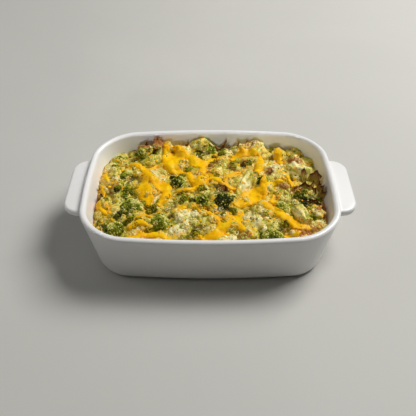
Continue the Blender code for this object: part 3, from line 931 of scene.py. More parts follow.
# Each patch is x, y and reach in millimetres, and how far its middle is browned.
SCORCH_PATCHES = (
    (-53, 65, 6, 0.5), (-67, 62, 5, 0.34), (-24, 68, 5, 0.26), (41, 64, 6, 0.2), (14, 66, 5, 0.3),
    (84, 38, 4, 0.22), (93, 38, 4, 0.2), (78, 42, 5, 0.16), (98, 8, 8, 0.16), (84, 2, 7, 0.14),
    (60, 22, 5, 0.2), (22, 32, 5, 0.18), (-5, 19, 7, 0.26), (4, 36, 6, 0.22), (40, 26, 5, 0.2),
    (72, 2, 6, 0.2), (80, -56, 6, 0.26), (96, -52, 5, 0.24), (30, -62, 5, 0.2), (-28, 32, 5, 0.14),
    (-96, 2, 6, 0.18), (-84, 36, 6, 0.16), (-20, -4, 5, 0.16), (-64, -64, 6, 0.18), (13, -2, 5, 0.24),
    (-57, -68, 5, 0.26), (88, -55, 5, 0.2), (68, -18, 6, 0.12), (-108, -12, 6, 0.24), (104, -26, 7, 0.24),
    (-60, 14, 4, 0.14), (34, 38, 5, 0.16), (-30, 12, 5, 0.1),
)


@dataclass(frozen=True)
class Strand:
    """Cheddar that melted along a line: points as x, y and half width, in millimetres."""

    points: tuple[tuple[float, float, float], ...]
    step: float = 0.8

    def discs(self) -> Iterator[tuple[float, float, float]]:
        """Discs along the smooth line through the points, in metres."""
        padded = [Vector(point) for point in (self.points[0], *self.points, self.points[-1])]
        for first, start, end, last in zip(padded, padded[1:], padded[2:], padded[3:]):
            count = max(2, math.ceil((end - start).length / self.step))
            for index in range(count + 1):
                s = index / count
                pull_start, pull_end = (end - first) / 2, (last - start) / 2
                point = (
                    (2 * s**3 - 3 * s**2 + 1) * start
                    + (s**3 - 2 * s**2 + s) * pull_start
                    + (3 * s**2 - 2 * s**3) * end
                    + (s**3 - s**2) * pull_end
                )
                yield point.x * MM, point.y * MM, max(point.z, 0.6) * MM


STRANDS = tuple(
    Strand(points)
    for points in (
        ((-85, 34, 1.6), (-76, 34, 2.9), (-67, 28, 3), (-60, 18, 3), (-54, 10, 3.4),
         (-47, 5, 3.6), (-39, 1, 2.6)),
        ((-62, 14, 2.2), (-66, 5, 4), (-65, -4, 4.6), (-59, -12, 4.4), (-57, -22, 2.4)),
        ((-42, 4, 2.5), (-41, -6, 2.8), (-43, -15, 3), (-48, -23, 2)),
        ((-46, 69, 1.6), (-45, 58, 2.6), (-44, 47, 3.6), (-42, 37, 4.6), (-36, 29, 3.4), (-28, 27, 2.6)),
        ((-28, 27, 2.6), (-21, 22, 2.8), (-19, 14, 2.6), (-14, 6, 2.6)),
        ((-36, 59, 2), (-31, 56, 4), (-30, 46, 3.6), (-36, 40, 4.6), (-34, 32, 3)),
        ((-25, 52, 1.6), (-21, 46, 3), (-14, 40, 4.2), (-9, 36, 4), (-2, 41, 3), (9, 46, 1.6)),
        ((-8, 31, 2.6), (-6, 22, 4), (-8, 12, 4.2), (-12, 4, 3)),
        ((-1, 19, 2.2), (6, 13, 2.8), (14, 6, 2.8), (23, 1, 1.8)),
        ((14, 7, 1.6), (17, 15, 2.6), (27, 23, 2.2)),
        ((22, 44, 1.8), (28, 49, 3.2), (37, 52, 3.2), (46, 51, 1.8)),
        ((52, 48, 1.8), (51, 40, 3), (49, 30, 3.4), (47, 20, 1.8)),
        ((69, 58, 1.6), (70, 49, 2.9), (72, 38, 1.7)),
        ((73, 22, 1.4), (77, 14, 2.7), (82, 5, 1.6)),
        ((54, 0, 2), (60, 5, 2.4), (69, 7, 1.6)),
        ((53, 12, 1.4), (51, 2, 2.8), (53, -8, 2.2)),
        ((52, 0, 2.4), (43, -4, 4), (41, -13, 5.6), (33, -20, 4.4), (23, -23, 1.8)),
        ((48, -12, 4), (46, -21, 4), (52, -28, 3), (62, -35, 3), (72, -44, 3.3), (81, -50, 3),
         (90, -51, 1.6)),
        ((-6, -29, 1.5), (0, -35, 2.5), (7, -42, 2.8)),
        ((29, -34, 1.8), (25, -41, 4), (16, -45, 5), (10, -53, 3.8), (3, -61, 4), (-8, -62, 1.8)),
        ((21, -46, 3), (27, -51, 2.6), (31, -57, 1.4)),
        ((-86, -66, 1.8), (-76, -66, 3.6), (-67, -64, 3.8), (-58, -60, 2.8), (-46, -59, 2.8),
         (-37, -65, 1.8)),
        ((-105, 27, 1.4), (-104, 19, 2.4), (-101, 12, 1.4)),
        ((-105, 5, 1.3), (-103, -4, 1.8), (-102, -8, 1)),
        ((-107, -18, 1.4), (-103, -26, 2.2), (-97, -33, 1.4)),
        ((-34, -33, 1.6), (-28, -28, 3), (-23, -29, 1.4)),
        ((-29, -5, 1.4), (-20, -1, 2.2), (-11, 2, 1.4)),
        ((66, -60, 1.2), (73, -60, 2.4), (80, -58, 1.4)),
        ((-22, -70, 1.4), (-14, -71, 2), (-6, -70, 1.2)),
        ((-66, 18, 1.6), (-56, 32, 2), (-50, 38, 1.4)),
        ((60, -12, 1.2), (58, -20, 1.9), (62, -26, 1.1)),
        ((-8, -36, 1), (-13, -29, 1.6), (-20, -27, 1)),
        ((-66, 4, 4), (-63, -2, 5.4), (-60, -9, 4.4)),
        ((-72, -52, 1.6), (-65, -48, 2.6), (-58, -50, 1.8)),
        ((-66, -41, 1.2), (-60, -37, 1.9), (-54, -40, 1.1)),
        ((-41, 42, 4.4), (-36, 38, 5), (-31, 36, 3.6)),
        ((-42, 52, 3), (-37, 50, 4), (-31, 49, 3.4)),
        ((-17, 41, 3.6), (-12, 38, 4.8), (-7, 39, 3.6)),
        ((35, -8, 4), (40, -13, 5.8), (46, -14, 4.4)),
        ((24, -40, 4.4), (18, -44, 5.4), (12, -49, 4.4)),
        ((-80, -67, 3), (-70, -66, 4.6), (-62, -63, 3.6)),
        ((-52, 8, 3), (-49, 2, 4), (-44, -2, 3)),
        ((62, -36, 3), (70, -42, 4), (78, -48, 3.4)),
    )
)


@dataclass
class FoodMap:
    """Where the food is greener, golden or browned, seen from above."""

    tone_strength: float = 1.9
    scorch_strength: float = 1.3
    darkening: float = 1.2
    scorch_spread: float = 1.2
    gold_strength: float = 0.85
    gold_reach: float = 4 * MM

    def __post_init__(self) -> None:
        """Fill in the three quantities."""
        self.tone, self.scorch, self.gold = Raster(), Raster(), Raster()
        kinds = (
            (self.tone, TONE_PATCHES, self.tone_strength, 1.0),
            (self.scorch, SCORCH_PATCHES, self.scorch_strength, self.scorch_spread),
        )
        for raster, patches, strength, spread in kinds:
            for x, y, reach, amount in patches:
                away = ((raster.x - x * MM) ** 2 + (raster.y - y * MM) ** 2) / (spread * reach * MM) ** 2
                raster.values += amount * (strength if amount > 0 else self.darkening) * np.exp(-away)
        gold = self.gold
        for strand in STRANDS:
            for x, y, radius in strand.discs():
                away = np.hypot(gold.x - x, gold.y - y) - radius
                near = self.gold_strength * np.exp(-np.maximum(away, 0) / self.gold_reach)
                gold.values = np.maximum(gold.values, near)

    def shades(self, x: float, y: float) -> tuple[float, float, float]:
        """The tone's shift, the gold and the scorch at this place."""
        return self.tone.at(x, y), self.gold.at(x, y), self.scorch.at(x, y)


class Paint:
    """Writes the food's attributes on a bmesh's vertices."""

    def __init__(self, shape: Shape, food: FoodMap) -> None:
        """Make the attribute layers.

        Args:
            shape: The bmesh.
            food: Where the food is greener, golden or browned.
        """
        self.layers = [tone_layer(shape, name) for name in ("tone", "gold", "scorch")]
        self.food = food

    def put(self, vertex: bmesh.types.BMVert, tone: float, gold: float = 1.0, scorch: float = 0.0) -> None:
        """Shade a vertex at its place.

        Args:
            vertex: The vertex, already in place.
            tone: Its own tone, before the map's shift.
            gold: How much of the map's gold it takes.
            scorch: Its own scorch, before the map's.
        """
        shift, golden, browned = self.food.shades(vertex.co.x, vertex.co.y)
        values = (clamp(tone + shift), clamp(gold * golden), scorch + browned)
        for layer, value in zip(self.layers, values):
            vertex[layer] = value


def buds(point: Vector, size: float) -> tuple[float, float]:
    """Relief of packed round buds of this size.

    Args:
        point: Where.
        size: Distance between buds.

    Returns:
        1 on a bud's top and 0 between buds, and the bud's own value from -1 to 1.
    """
    distances, points = noise.voronoi(point / size)
    own = math.sin(91.7 * points[0].x + 47.3 * points[0].y + 23.9 * points[0].z)
    return math.sqrt(max(0.0, 1 - min(1.0, distances[0] * 1.25) ** 2)), own


def keep_in(dish: Dish, place: Vector, middle: Vector, into_wall: float = 1 * MM) -> Vector:
    """Draw a place towards the middle until it no longer passes the dish's inner wall.

    Args:
        dish: The dish.
        place: The place.
        middle: A place inside the dish.
        into_wall: How deep it may still go into the wall.

    Returns:
        The place, drawn in.
    """
    for _ in range(24):
        if dish.depth_inside(place.x, place.y, place.z, dish.wall) > -into_wall:
            break
        place = place.lerp(middle, 0.07)
    return place


@dataclass
class BakedMass:
    """The casserole's body: the baked surface as a fine grid, with walls and a base under it."""

    dish: Dish
    surface: Surface
    food: FoodMap
    cell: float = 0.72 * MM
    into_wall: float = 1.5 * MM
    base_height: float = 8 * MM
    base_share: float = 0.84
    # Each level of knobs is its size and height, then how a knob's own value shifts the tone, then the
    # painted shade that darkens the gaps between knobs and lightens their tops.
    knobs: tuple[tuple[float, float, float, float], ...] = (
        (13 * MM, 4.0 * MM, 0.22, 0.26),
        (5.6 * MM, 1.4 * MM, 0.1, 0.14),
        (2.3 * MM, 0.3 * MM, 0.02, 0.04),
    )
    warp: float = 1.5 * MM
    crumb: float = 0.35 * MM
    wall_band: float = 5 * MM
    wall_scorch: float = 0.22

    def relief(self, x: float, y: float) -> tuple[float, float]:
        """The knobs on the broad surface.

        Args:
            x: Place along X.
            y: Place along Y.

        Returns:
            Their height, and how they shift the tone.
        """
        place = Vector((x, y, 0))
        place += self.warp * noise.noise_vector(place * 130)
        height, shade = self.crumb * noise.fractal(place * 420, 1.0, 2.0, 3), 0.0
        for level, (size, rise, own_shade, painted_crevice_shade) in enumerate(self.knobs):
            bud, own = buds(place + Vector((0.3 * level, 0.1, 0)), size)
            height += rise * (bud - 0.55) * (1 + 0.35 * own)
            # A knob's own value is its own tone; the painted shade darkens the gaps between knobs and
            # lightens their tops.
            shade += own_shade * own + painted_crevice_shade * (bud - 0.6)
        return height, shade

    def shape(self) -> Shape:
        """The body's mesh, trimmed to the dish and closed."""
        half_length, half_width = self.dish.rim_half
        shape = bmesh.new()
        bmesh.ops.create_grid(
            shape,
            x_segments=round(2 * half_length / self.cell),
            y_segments=round(2 * half_width / self.cell),
            size=1,
            matrix=Matrix.Diagonal((half_length, half_width, 1, 1)),
        )
        edge_height = self.surface.edge_height
        rim_inset = self.dish.wall - self.into_wall
        beyond = [
            vertex
            for vertex in shape.verts
            if self.dish.depth_inside(vertex.co.x, vertex.co.y, edge_height, rim_inset) < 0
        ]
        bmesh.ops.delete(shape, geom=beyond, context="VERTS")
        paint = Paint(shape, self.food)
        for vertex in shape.verts:
            x, y, _ = vertex.co
            inside = self.dish.depth_inside(x, y, edge_height, self.dish.wall)
            near_wall = 1 - ramp_up(inside, 0, self.wall_band)
            height, shade = self.relief(x, y)
            vertex.co.z = self.surface.height(x, y) + height * mix(1, 0.5, near_wall)
            # The tone takes the knobs' own tones and their painted shade in the gaps.
            paint.put(vertex, 0.5 + shade, scorch=self.wall_scorch * near_wall)
        self.close(shape)
        return shape

    def close(self, shape: Shape) -> None:
        """Extrude the surface's edge down into the dish and cap it."""
        edge = [item for item in shape.edges if item.is_boundary]
        made = bmesh.ops.extrude_edge_only(shape, edges=edge)
        lower = [item for item in made["geom"] if isinstance(item, bmesh.types.BMVert)]
        for vertex in lower:
            vertex.co.x *= self.base_share
            vertex.co.y *= self.base_share
            vertex.co.z = self.base_height
        fill_open(shape)
        bmesh.ops.recalc_face_normals(shape, faces=shape.faces)

    def build(self, material: Material) -> Thing:
        """The baked mass, in place of its solid."""
        return dress("baked_mass", self.shape(), material, "casserole")


@dataclass
class CoatedLumps:
    """Broccoli crowns baked under custard, fused to the mass where the solids have them."""

    dish: Dish
    surface: Surface
    food: FoodMap
    detail: int = 5
    bud_size: float = 2.0 * MM
    bud_height: float = 0.42 * MM
    fold_height: float = 0.18
    peak_dent: float = 0.5
    bottom: float = -0.3
    fold_size: float = 0.55
    crown_scorch: float = 0.1
    # Each peak is x, y, radius and top in millimetres.
    peaks: tuple[tuple[float, float, float, float], ...] = (
        (48, 62, 10.5, 51), (-9, 65, 8.5, 53), (-66, 58, 7.5, 51), (-54, 63, 6, 53), (-44, 62, 5.5, 50),
        (-31, 60, 6.5, 49), (35, 60, 7, 50.5), (70, 52, 5.5, 49.5), (86, 38, 9.5, 49.5),
        (-96, 20, 10, 46.5), (62, 24, 9, 47), (100, -32, 7, 46.5), (-100, -20, 7.5, 45.5),
    )

    def shape(self) -> Shape:
        """All the lumps as one bmesh, without the undersides that the mass hides."""
        whole = bmesh.new()
        surface = self.surface
        places = [(x, y, r, surface.lump_middle(x, y, r), surface.lump_dent) for x, y, r in surface.lumps()]
        for x, y, radius, top in self.peaks:
            middle = top - surface.lump_flatness * radius
            places.append((x * MM, y * MM, radius * MM, middle * MM, self.peak_dent))
        for x, y, radius, height, dent in places:
            knob = self.lump(Vector((x, y, height)), radius, dent)
            whole.from_mesh(knob)
            bpy.data.meshes.remove(knob)
        return whole

    def lump(self, middle: Vector, radius: float, dented: float) -> Mesh:
        """One lump: the solid's dented icosphere, with folds and buds under the custard.

        Args:
            middle: Its middle.
            radius: Its radius.
            dented: Depth of its dents, as a share of the radius.

        Returns:
            Its mesh in place.
        """
        surface = self.surface
        shape = bmesh.new()
        bmesh.ops.create_icosphere(shape, subdivisions=self.detail, radius=1)
        bmesh.ops.bisect_plane(
            shape, geom=everything(shape), plane_co=(0, 0, self.bottom), plane_no=(0, 0, -1), clear_outer=True
        )
        fill_open(shape)
        paint = Paint(shape, self.food)
        shade = 0.14 * noise.noise(middle * 300)
        for vertex in shape.verts:
            way = vertex.co.normalized()
            dent = 1 + dented * noise.noise(way * 1.3 + middle / surface.lump_radius[0])
            fold, own = buds(way + middle * 90, self.fold_size)
            reach = vertex.co.length * (dent + self.fold_height * (fold - 0.6))
            place = middle + Vector((1, 1, surface.lump_flatness)) * radius * reach * way
            bud, bead = buds(place, self.bud_size)
            thin = ramp_up(noise.noise(place * 140), -0.3, 0.25)
            place += way * self.bud_height * (bud - 0.5) * mix(0.4, 1, thin)
            vertex.co = keep_in(self.dish, place, middle)
            # Folds and buds are lighter on top and darker in the gaps between them, which is painted shade;
            # shade, own and bead are the lump's own tone.
            tone = 0.56 + shade + 0.08 * own + 0.3 * (fold - 0.65) + thin * (0.12 * (bud - 0.6) + 0.08 * bead)
            paint.put(vertex, tone, scorch=self.crown_scorch * ramp_up(way.z, 0.7, 1.0))
        bmesh.ops.recalc_face_normals(shape, faces=shape.faces)
        return mesh_of(shape)

    def build(self, material: Material) -> Thing:
        """The lumps as one piece."""
        return dress("coated_lumps", self.shape(), material)


@dataclass
class Floret:
    """A broccoli crown of bud clusters, set in the mass where its solid is."""

    dish: Dish
    surface: Surface
    number: int
    x: float
    y: float
    radius: float
    rise: float
    heading: float
    tone: float
    cream: float
    pale_side: float
    specks: float = 0.12
    speck_tones: Place = (0.7, 1.0)
    lobes: int = 11
    lobe_depth: float = 0.2
    lobe_width: float = 0.55
    lean: float = 18
    bud_radius: float = 0.82 * MM
    bud_sizes: Place = (0.7, 1.15)
    bud_spacing: float = 1.32 * MM
    bud_cover: float = 1.4
    lowest_bud: float = -0.4
    jitter: float = 0.045

    def frame_of(self) -> tuple[Vector, Matrix]:
        """The crown's middle and its turn."""
        centre = Vector((self.x, self.y, self.surface.height(self.x, self.y) + self.rise))
        centre.z = min(centre.z, self.surface.tallest - self.radius)
        return centre, turned(self.heading, self.lean)

    def lobe_ways(self) -> list[Vector]:
        """Directions of the bud clusters, spread over the crown's top and sides."""
        return list(golden_ways(self.lobes, 1.0, -0.15))

    def reach(self, way: Vector, lobes: Sequence[Vector]) -> float:
        """How far the crown reaches in this direction, as a share of its radius."""
        nearest = min((way - lobe).length for lobe in lobes)
        lobed = 1 - self.lobe_depth * min(nearest / self.lobe_width, 1) ** 2
        return lobed * (1 - 0.45 * max(-way.z - 0.25, 0))

    def build(self, material: Material, bud: Mesh) -> Thing:
        """The floret in place of its solid.

        Args:
            material: The broccoli's finish.
            bud: The mesh of one bud, of radius 1.

        Returns:
            The piece.
        """
        centre, turn = self.frame_of()
        lobes = self.lobe_ways()
        draw = random.Random(100 + self.number)
        pale = Matrix.Rotation(math.radians(self.pale_side), 3, "Z") @ Vector((1, 0, 0.3))
        shape = bmesh.new()
        bmesh.ops.create_uvsphere(shape, u_segments=36, v_segments=24, radius=1)
        tone = tone_layer(shape)
        for vertex in shape.verts:
            way = vertex.co.normalized()
            place = centre + turn @ (way * (self.radius * self.reach(way, lobes) - 0.5 * self.bud_radius))
            vertex.co = keep_in(self.dish, place, centre)
            vertex[tone] = clamp(self.tone - 0.12)
        count = round(2 * math.pi * self.bud_cover * (self.radius / self.bud_spacing) ** 2)
        for way in golden_ways(count, 1.0, self.lowest_bud):
            jitter = Vector((draw.uniform(-1, 1), draw.uniform(-1, 1), draw.uniform(-1, 1))) * self.jitter
            way = (way + jitter).normalized()
            size = self.bud_radius * draw.uniform(*self.bud_sizes)
            place = centre + turn @ (way * (self.radius * self.reach(way, lobes) - 0.45 * self.bud_radius))
            place = keep_in(self.dish, place, centre)
            cream = ramp_up(noise.noise(place * 190 + Vector((self.number, 0, 0))), 0.1, 0.4)
            side = ramp_up((place - centre).dot(pale) / self.radius, 0.15, 0.7)
            shade = self.tone + draw.gauss(0, 0.1) + self.cream * max(cream, side) * draw.uniform(0.5, 1.3)
            if draw.random() < self.specks:
                shade = draw.uniform(*self.speck_tones)
            spin = Matrix.Rotation(draw.uniform(0, math.tau), 4, way)
            add_copy(shape, bud, Matrix.Translation(place) @ spin @ Matrix.Scale(size, 4), shade)
        name = f"floret_head_{self.number:02d}"
        return dress(name, shape, material, f"floret_{self.number:02d}")


def golden_ways(count: int, top: float, bottom: float) -> Iterator[Vector]:
    """Directions spread evenly over a sphere's band by the golden angle.

    Args:
        count: How many.
        top: Upward part of the first.
        bottom: Upward part of the last.

    Yields:
        Each direction, of length 1.
    """
    golden = math.pi * (3 - math.sqrt(5))
    for index in range(count):
        up = mix(top, bottom, index / max(count - 1, 1))
        flat = math.sqrt(max(0.0, 1 - up * up))
        yield Vector((flat * math.cos(golden * index), flat * math.sin(golden * index), up))


def add_copy(shape: Shape, part: Mesh, place: Matrix, tone: float, **more: float) -> None:
    """Add a placed copy of a mesh to a bmesh, all of it in one tone.

    Args:
        shape: The bmesh that grows.
        part: The mesh to copy.
        place: Where the copy goes.
        tone: Its tone, kept between 0 and 1.
        **more: Other attributes and their values.
    """
    copy = part.copy()
    copy.transform(place)
    for name, value in {"tone": clamp(tone), **more}.items():
        layer = copy.attributes.get(name) or copy.attributes.new(name, "FLOAT", "POINT")
        layer.data.foreach_set("value", np.full(len(copy.vertices), value, np.float32))
    shape.from_mesh(copy)
    bpy.data.meshes.remove(copy)


@dataclass
class Stalk:
    """A cut chunk of stalk, ribbed and wider where it branched, set where its solid is."""

    dish: Dish
    surface: Surface
    food: FoodMap
    number: int
    x: float
    y: float
    length: float
    radius: float
    rise: float
    heading: float
    tilt: float
    rib: float = 0.1
    ribs: int = 5
    cut_edge: float = 0.22
    cut_hollow: float = 0.03
    cut_rough: float = 0.06
    branch_swell: float = 0.22
    knob_size: float = 3.4 * MM
    coat: float = 1.7 * MM
    dent: float = 0.24
    fibre: float = 0.02
    fibres: int = 22
    slices: int = 22
    sliced_share: float = 0.86

    def build(self, material: Material) -> Thing:
        """The chunk in place of its solid."""
        slope = math.radians(self.tilt)
        widest = self.radius * (1 + self.rib + self.branch_swell / 2)
        reach_up = widest * math.cos(slope) + self.length / 2 * abs(math.sin(slope))
        height = min(self.surface.height(self.x, self.y) + self.rise, self.surface.tallest - reach_up)
        centre = Vector((self.x, self.y, height))
        laid = Matrix.Rotation(math.pi / 2 + slope, 3, "Y")
        turn = Matrix.Rotation(math.radians(self.heading), 3, "Z") @ laid
        shape = self.rod()
        paint = Paint(shape, self.food)
        own = Vector((self.number * 7.3, 0, 0))
        for vertex in shape.verts:
            share = vertex.co.z / self.length
            angle = math.atan2(vertex.co.y, vertex.co.x)
            wide = 1 + self.branch_swell * share + self.rib * math.cos(self.ribs * angle + self.number - 1)
            flat = Vector((vertex.co.x, vertex.co.y, 0))
            hollow = 1 - ramp_up(flat.length / self.radius, 0.5, 0.9)
            dents = self.dent * self.radius * noise.noise(vertex.co * 170 + own)
            knob, bead = buds(vertex.co + own, self.knob_size)
            grain = math.sin(self.fibres * angle + 5 * noise.noise(vertex.co * 120))
            fibre = self.fibre * self.radius * grain
            lift = dents + fibre + self.coat * (knob - 0.6)
            place = flat * wide + flat.normalized() * lift * (1 - hollow)
            rough = self.cut_rough * self.length * noise.noise(flat * 150 + own)
            place.z = vertex.co.z * (1 - self.cut_hollow * hollow) + rough
            vertex.co = keep_in(self.dish, centre + turn @ place, centre)
            streak = noise.noise(Vector((math.cos(angle), math.sin(angle), share * 0.8)) * 2.4 + own)
            up = (vertex.co.z - centre.z) / self.radius
            scorch = 0.08 * ramp_up(up, 0.5, 1.2) - 0.05
            # The coat's knobs are lighter on top and darker between them, which is painted shade; the
            # streaks, beads and paler cut ends are the stalk's own tone.
            tone = 0.62 + 0.2 * hollow + 0.5 * streak + 0.06 * bead + 0.16 * (knob - 0.6)
            paint.put(vertex, tone, 0.5, scorch)
        bmesh.ops.recalc_face_normals(shape, faces=shape.faces)
        name = f"stalk_chunk_{self.number:02d}"
        return dress(name, shape, material, f"stalk_{self.number:02d}")

    def rod(self) -> Shape:
        """A plain rod along Z with rounded cut edges, fine enough to shape."""
        shape = bmesh.new()
        bmesh.ops.create_cone(
            shape, cap_ends=True, segments=60, radius1=self.radius, radius2=self.radius, depth=self.length
        )
        around = [edge for edge in shape.edges if abs(edge.verts[0].co.z - edge.verts[1].co.z) < 0.1 * MM]
        round_edges(shape, around, self.cut_edge * self.radius, 4)
        reach = self.length * self.sliced_share
        slice_along(shape, 2, [reach * (step / self.slices - 0.5) for step in range(1, self.slices)])
        for _ in range(4):
            ends = [face for face in shape.faces if len(face.verts) > 4]
            bmesh.ops.inset_individual(shape, faces=ends, thickness=0.17 * self.radius)
        return shape


@dataclass
class Leaf:
    """A crisp wavy leaf standing on its edge, with a toothed upper side, set where its solid is."""

    surface: Surface
    number: int
    x: float
    y: float
    length: float
    height: float
    heading: float
    lean: float
    sink: float = 0.45
    teeth: float = 3.5
    replaces_solid: bool = True
    thickness: float = 1.6 * MM
    edge_thinness: float = 0.45
    wave: float = 1.8 * MM
    vein: float = 0.25 * MM
    bite: float = 0.28
    fray: float = 0.08
    taper: float = 0.3

    def build(self, material: Material) -> Thing:
        """The leaf in place of its solid."""
        foot = Vector((self.x, self.y, self.surface.height(self.x, self.y)))
        turn = turned(self.heading, self.lean, "X")
        order = self.number - 1
        shape = bmesh.new()
        bmesh.ops.create_grid(shape, x_segments=56, y_segments=22, size=0.5)
        bmesh.ops.solidify(shape, geom=shape.faces, thickness=self.thickness)
        tone = tone_layer(shape)
        for vertex in shape.verts:
            along, up = vertex.co.x, vertex.co.y + 0.5
            edge = ramp_up(up, 0.55, 1.0)
            across = math.copysign(self.thickness / 2, vertex.co.z) * mix(1, self.edge_thinness, edge)
            tooth = abs(math.sin(math.pi * self.teeth * along + order))
            teeth = 1 - self.bite * tooth * up - self.fray * noise.noise(Vector((along * 22, order, 0)))
            vein = self.vein * math.sin(18 * math.pi * (along + 0.3 * up))
            wave = self.wave * math.sin(2 * math.pi * along + order) + vein
            wide = along * (1 - self.taper * (1 - up)) * self.length
            place = Vector((wide, wave + across, (up * teeth - self.sink) * self.height))
            vertex.co = foot + turn @ place
            vertex[tone] = clamp(0.85 - 0.75 * edge - 0.15 * tooth * up)
        face_outwards(shape)
        name = f"crisp_leaf_{self.number:02d}"
        replaced = f"leaf_{self.number:02d}" if self.replaces_solid else None
        return dress(name, shape, material, replaced)


@dataclass
class CrispTips:
    """Browned tips and twigs that stand up from the food, most of them along the walls."""

    dish: Dish
    highest: float = 54.6 * MM
    segments: int = 10
    rings: int = 9
    sink: float = 1.5 * MM
    top_radius: float = 0.12
    fray: float = 0.7
    bend: float = 0.16
    # Each tip is x, y, height, width, thickness, heading, lean and tone, in millimetres and degrees.
    tips: tuple[tuple[float, ...], ...] = (
        (12, 67, 14, 4.4, 3.4, 20, 18, 0.3), (13, 67, 12, 4, 3, -10, 40, 0.4),
        (9, 67, 8, 4, 3, 10, -20, 0.4), (-54, 67, 9, 6, 3.4, 10, 4, 0.2), (-66, 64, 7, 5, 3, 30, 6, 0.12),
        (-24, 69, 7, 5, 2, 10, 6, 0.4), (-33, 66, 5, 5, 2, -10, 8, 0.6), (-28, 65, 5, 4, 2, 20, -8, 0.5),
        (40, 68, 5, 6, 2.2, 5, -6, 0.5), (30, 62, 6, 4, 2, 20, 10, 0.4),
        (106, -24, 6, 7, 1.6, -88, 4, 0.4), (105, -36, 5, 6, 1.6, -84, 4, 0.5),
        (73, 42, 5, 3, 2, 0, 8, 0.4), (-107, -12, 7, 4, 1.8, 88, 6, 0.4),
        (-106, 24, 6, 4, 1.8, 80, 4, 0.8), (-108, 4, 7, 4, 1.6, 86, 4, 0.7),
        (-86, 42, 5, 7, 2, 40, 4, 0.5), (-102, -40, 5, 6, 1.6, 96, 4, 0.6),
        (-57, -66, 4, 5, 2.4, 0, 0, 0.3), (60, 21, 5, 4, 3, 30, 10, 0.3), (22, 32, 4, 5, 3, 60, 10, 0.35),
        (15, -3, 6, 5, 4, 0, 10, 0.1), (-8, 4, 4, 4, 3, 30, 0, 0.3), (84, 3, 4, 6, 3, 10, 0, 0.45),
    )

    def tip(self, ground: Ground, row: tuple[float, ...], seed: int) -> Mesh:
        """One tip: a flattened cone, bent and ragged.

        Args:
            ground: What it stands on.
            row: Its numbers.
            seed: Makes it unlike the others.

        Returns:
            Its mesh in place.
        """
        x, y, height, width, thickness, heading, lean, _ = row
        foot = Vector((x * MM, y * MM, 0))
        ceiling = self.highest - height * MM * math.cos(math.radians(lean))
        foot.z = min(ground.height(foot.x, foot.y) - self.sink, ceiling)
        shape = bmesh.new()
        bmesh.ops.create_cone(
            shape, cap_ends=True, segments=self.segments, radius1=0.5, radius2=self.top_radius, depth=1
        )
        slice_along(shape, 2, [ring / self.rings - 0.5 for ring in range(1, self.rings)])
        turn = turned(heading, lean)
        inside = Vector((foot.x * 0.9, foot.y * 0.85, foot.z))
        for vertex in shape.verts:
            up = vertex.co.z + 0.5
            ragged = 1 + self.fray * noise.noise(Vector((vertex.co.x * 3, up * 4, seed * 3.3)))
            bend = self.bend * height * math.sin(2.2 * up + seed) * up
            wide, thick = vertex.co.x * width * ragged + bend, vertex.co.y * thickness * ragged
            vertex.co = keep_in(self.dish, foot + turn @ (Vector((wide, thick, up * height)) * MM), inside, 0)
        bmesh.ops.recalc_face_normals(shape, faces=shape.faces)
        return mesh_of(shape)

    def build(self, ground: Ground, material: Material) -> Thing:
        """All the tips as one piece.

        Args:
            ground: What they stand on.
            material: The crisp finish.

        Returns:
            The piece.
        """
        shape = bmesh.new()
        for seed, row in enumerate(self.tips):
            add_copy(shape, self.tip(ground, row, seed), Matrix.Identity(4), row[-1])
        return dress("crisp_tips", shape, material)


class Ground:
    """The food's top as seen from above, for laying small things on it."""

    def __init__(self, pieces: Iterable[Thing]) -> None:
        """Join these pieces' meshes in one search tree.

        Args:
            pieces: What the small things may lie on.
        """
        shape = bmesh.new()
        for piece in pieces:
            shape.from_mesh(piece.data)
        self.tree = BVHTree.FromBMesh(shape)
        shape.free()

    def hit(self, x: float, y: float) -> tuple[Vector, Vector] | None:
        """The highest point at this place and its normal, or None where there is none."""
        point, normal, _, _ = self.tree.ray_cast(Vector((x, y, 60 * MM)), Vector((0, 0, -1)))
        return None if point is None else (point, normal)

    def height(self, x: float, y: float, default: float = 36 * MM) -> float:
        """Height of the highest point at this place."""
        found = self.hit(x, y)
        return found[0].z if found else default


